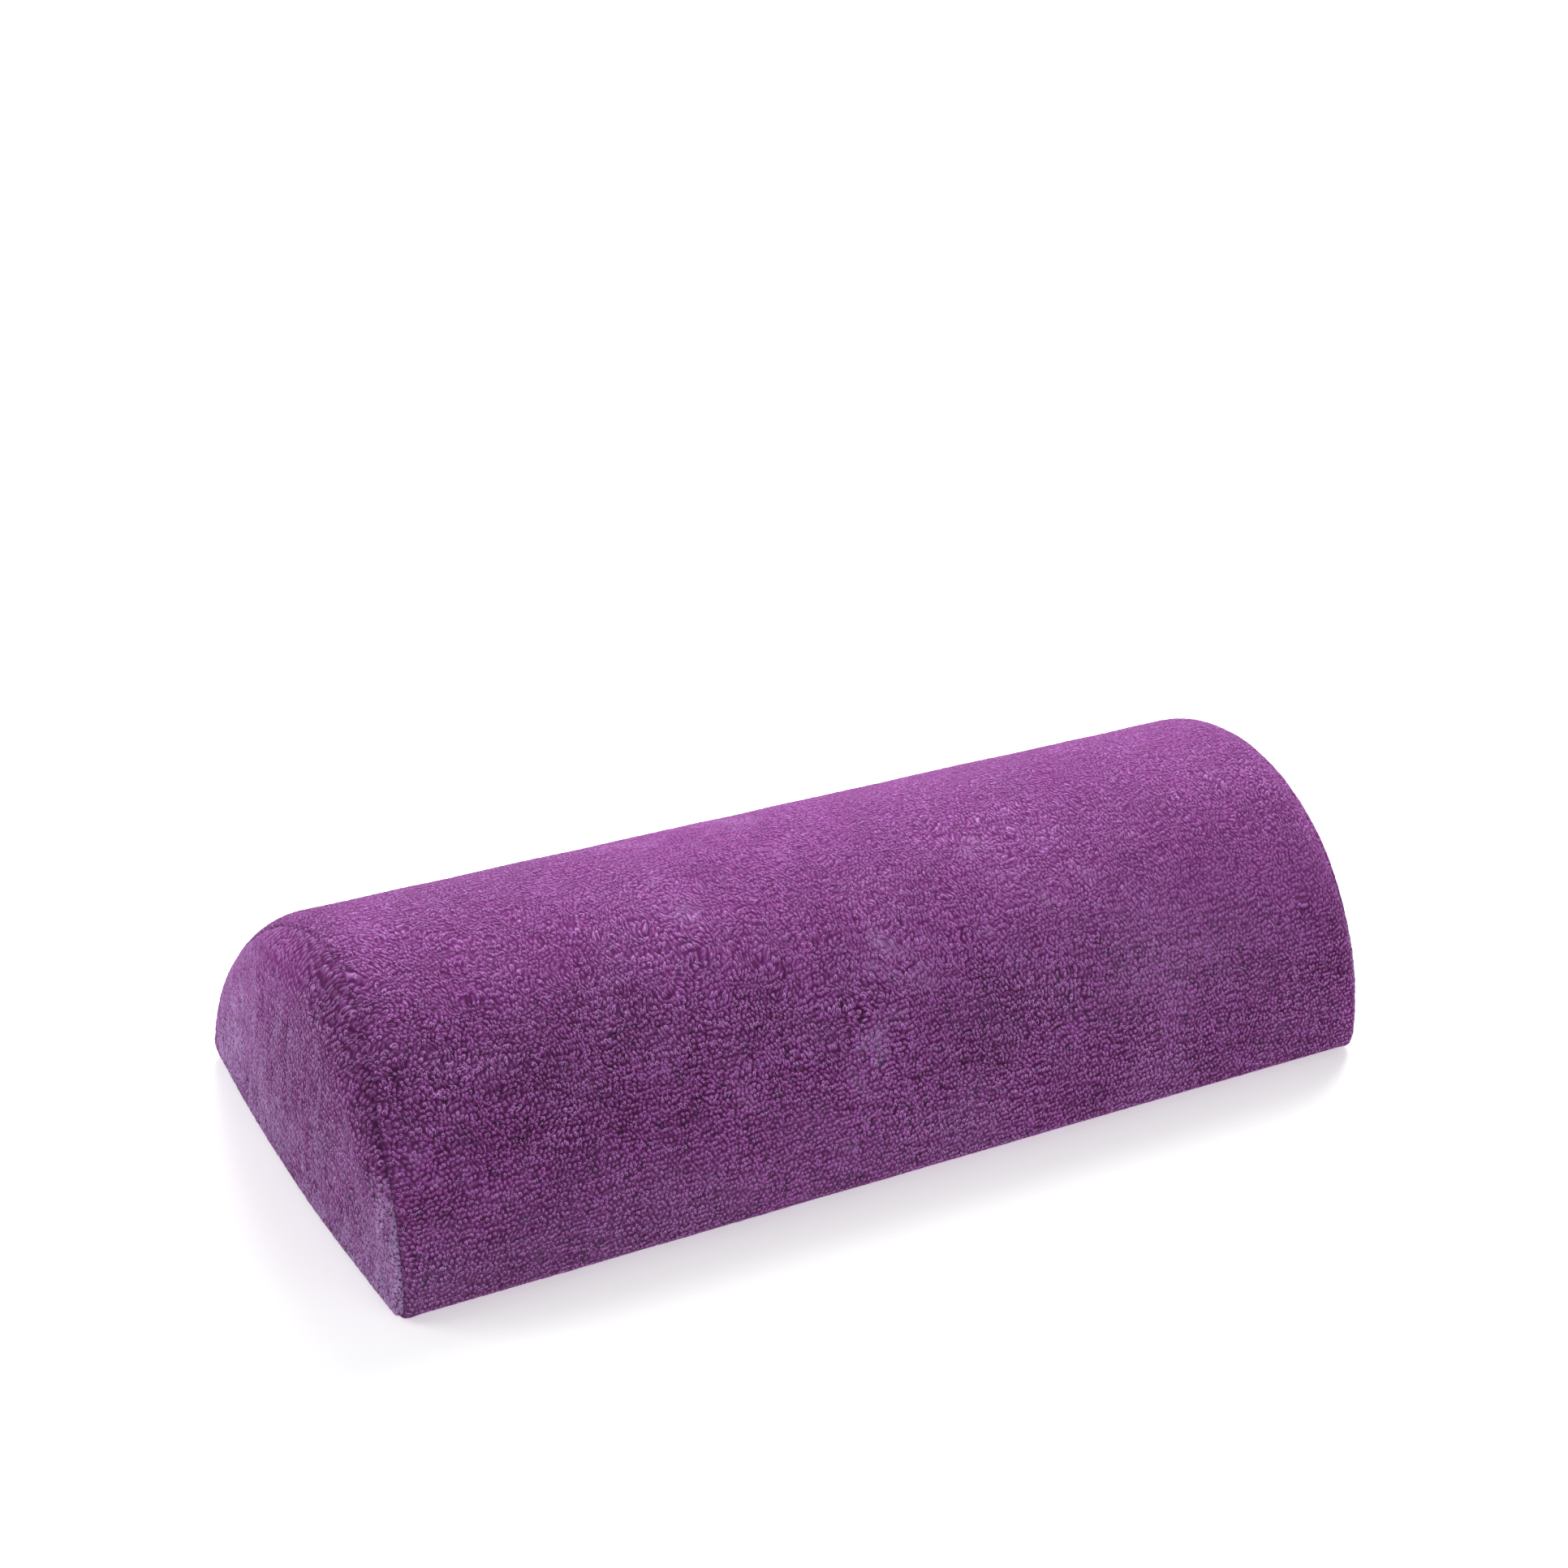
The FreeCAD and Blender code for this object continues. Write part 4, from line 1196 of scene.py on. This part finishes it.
def build_coil(node, side):
    """One row of the coil: a single filament in flattened turns, each with a thicker head.

    The row draws back on to its tape as the slider opens the chain.
    """
    low, high = box_mm(node)
    pitch, turns, wire = 1.6, 159, 0.29
    per_turn, sides = 32, 8
    progress = np.arange(int(per_turn * 0.25), int(per_turn * (turns - 0.25)) + 1) / per_turn
    part = progress % 1.0
    centre = coil_path(low, high, side, progress, pitch, wire)
    tangent = np.gradient(centre, axis=0)
    tangent /= np.linalg.norm(tangent, axis=-1, keepdims=True)
    first = np.array([1.0, 0, 0]) - tangent * tangent[:, :1]
    first /= np.linalg.norm(first, axis=-1, keepdims=True)
    second = np.cross(tangent, first)
    radius = (wire * (1 + 0.1 * bell(part - 0.5, 0.08)))[:, None, None]
    j = np.arange(sides)
    angle = (j * 2 * math.pi / sides)[None, :, None]
    points = centre[:, None] + radius * (np.cos(angle) * first[:, None]
                                         + np.sin(angle) * second[:, None])
    points[..., 2] = np.clip(points[..., 2], float(low[2]), float(high[2]))
    rows = len(progress)
    quads, _ = grid_faces(rows, sides, True)
    # each turn has its own strip of the UV map
    u0 = part[:-1, None]
    v0 = (np.floor(progress[:-1])[:, None] + j[None] / sides * 0.9) / turns
    uv = corner_uv(u0, u0 + 1 / per_turn, v0, v0 + 0.9 / sides / turns).reshape(-1, 4, 2)
    builder = Builder()
    builder.add(points, quads, uv)
    for row in (0, rows - 1):
        builder.cap(row, sides, centre[row], 0.999)
    ob = builder.make(node.replace("zip_coil", "nylon_coil"), COIL)
    outward(ob)
    stand_in(ob, node)
    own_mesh(ob)


terry_pieces = [
    build_wrap(),
    build_end(-1, "terry_end_left", "left_end_panel", seed=11),
    build_end(1, "terry_end_right", "right_end_panel", seed=17),
]
for piece in terry_pieces:
    outward(piece)
build_foam()
build_liner()
for build_half, part_name in ((build_tape, "zip_tape"), (build_coil, "zip_coil")):
    build_half(part_name + "_front", -1)
    build_half(part_name + "_rear", 1)

# ---------------------------------------------------------------------------
# CAD nodes that stay: they only get their materials
# ---------------------------------------------------------------------------
NODE_MATERIALS = {
    "left_end_seam_thread": THREAD, "right_end_seam_thread": THREAD,
    "left_overlock_thread": THREAD, "right_overlock_thread": THREAD,
    "zip_slider": METAL, "zip_pull_tab": METAL,
    "zip_top_stops": METAL, "zip_bottom_stop": METAL,
    "zip_topstitch_front": THREAD, "zip_topstitch_rear": THREAD,
    "zip_bartacks": THREAD, "care_label": LABEL,
}
for node_name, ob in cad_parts.items():
    if node_name in NODE_MATERIALS:
        if not ob.material_slots:
            ob.data.materials.append(NODE_MATERIALS[node_name])
        for material_slot in ob.material_slots:
            material_slot.material = NODE_MATERIALS[node_name]

# ---------------------------------------------------------------------------
# Floor, light and camera
# ---------------------------------------------------------------------------


def floor_material():
    """Pale floor, clear from below and to shadow rays so that lights under it reach the base."""
    shader = Shader("pale_floor")
    mottle = shader.noise(shader.coords(), scale=9.0)
    color = shader.mix(mottle, srgb(240, 240, 241), srgb(246, 246, 247))
    shader.surface(color, roughness=0.75)
    geometry = shader.node("ShaderNodeNewGeometry")
    rays = shader.node("ShaderNodeLightPath")
    clear = maximum(Value(shader, geometry.outputs["Backfacing"]),
                    Value(shader, rays.outputs["Is Shadow Ray"]))
    # it glows to the camera, more so far from the pillow
    length = shader.node("ShaderNodeVectorMath", {0: shader.coords()}, operation="LENGTH")
    away = smoothstep(Value(shader, length.outputs["Value"]), 0.7, 2.6)
    glow = Value(shader, rays.outputs["Is Camera Ray"]) * (away * 0.58 + 0.42)
    inputs = shader.principled.inputs
    inputs["Emission Color"].default_value = (1, 1, 1, 1)
    shader.link(glow, inputs["Emission Strength"])
    transparent = shader.node("ShaderNodeBsdfTransparent")
    blend = shader.node("ShaderNodeMixShader", {
        0: clear,
        1: Value(shader, shader.principled.outputs[0]),
        2: Value(shader, transparent.outputs[0])})
    shader.link(Value(shader, blend.outputs[0]), shader.output.inputs[0])
    return shader.material


def build_floor():
    mesh = bpy.data.meshes.new("floor")
    half, z = 6.0, -0.0002
    corners = [(-half, -half, z), (half, -half, z), (half, half, z), (-half, half, z)]
    mesh.from_pydata(corners, [], [(0, 1, 2, 3)])
    ob = bpy.data.objects.new("floor", mesh)
    mesh.materials.append(floor_material())
    bpy.context.scene.collection.objects.link(ob)


def set_world():
    """White to the camera, dimmer as a light."""
    dim = 0.3
    world = bpy.data.worlds.new("studio")
    bpy.context.scene.world = world
    world.use_nodes = True
    tree = world.node_tree
    background = tree.nodes["Background"]
    background.inputs[0].default_value = (1.0, 1.0, 1.0, 1.0)
    background.inputs[1].default_value = dim
    rays = tree.nodes.new("ShaderNodeLightPath")
    strength = tree.nodes.new("ShaderNodeMapRange")
    strength.inputs["To Min"].default_value = dim
    strength.inputs["To Max"].default_value = 1.0
    tree.links.new(rays.outputs["Is Camera Ray"], strength.inputs["Value"])
    tree.links.new(strength.outputs["Result"], background.inputs[1])


def area_light(name, place, target, size, power):
    light = bpy.data.lights.new(name, "AREA")
    light.shape = "RECTANGLE"
    light.size, light.size_y = size
    light.energy = power
    light.color = (1, 1, 1)
    ob = bpy.data.objects.new(name, light)
    ob.location = place
    aim = Vector(target) - Vector(place)
    ob.rotation_euler = aim.to_track_quat("-Z", "Y").to_euler()
    bpy.context.scene.collection.objects.link(ob)


def set_camera():
    azimuth, elevation, roll = (math.radians(a) for a in (33.168, 30.771, -6.231))
    # the pillow's origin seen from the camera (right, down, forward), in pillow widths
    origin_seen = np.array([0.035, 0.591, 6.969])
    forward = np.array([math.sin(azimuth) * math.cos(elevation),
                        math.cos(azimuth) * math.cos(elevation), -math.sin(elevation)])
    right = np.cross(forward, [0, 0, 1])
    right /= np.linalg.norm(right)
    down = np.cross(forward, right)
    c, s = math.cos(roll), math.sin(roll)
    axes = np.stack([c * right + s * down, -s * right + c * down, forward])
    place = -axes.T @ (origin_seen * WIDTH * MM)
    camera = bpy.data.cameras.new("camera")
    camera.lens = 71.80621118
    camera.sensor_width = 36.0
    camera.clip_start, camera.clip_end = 0.01, 50
    ob = bpy.data.objects.new("camera", camera)
    matrix = Matrix.Identity(4)
    for i in range(3):
        for j, value in enumerate((axes[0][i], -axes[1][i], -axes[2][i], place[i])):
            matrix[i][j] = value
    ob.matrix_world = matrix
    bpy.context.scene.collection.objects.link(ob)
    bpy.context.scene.camera = ob


build_floor()
set_world()
area_light("top_soft", place=(0.85, 1.2, 1.25), target=(0, 0, 0.04), size=(1.5, 0.9), power=60)
area_light("under_soft", place=(0.0, -0.1, -1.1), target=(0, 0, 0), size=(1.2, 0.9), power=9)
area_light("left_soft", place=(-1.5, 0.5, 0.8), target=(0, 0, 0.04), size=(1.0, 0.8), power=14)
area_light("front_fill", place=(0.5, -1.65, 0.4), target=(0, 0, 0.04), size=(1.6, 0.7), power=13.5)
set_camera()
bpy.context.scene.view_settings.view_transform = "Standard"
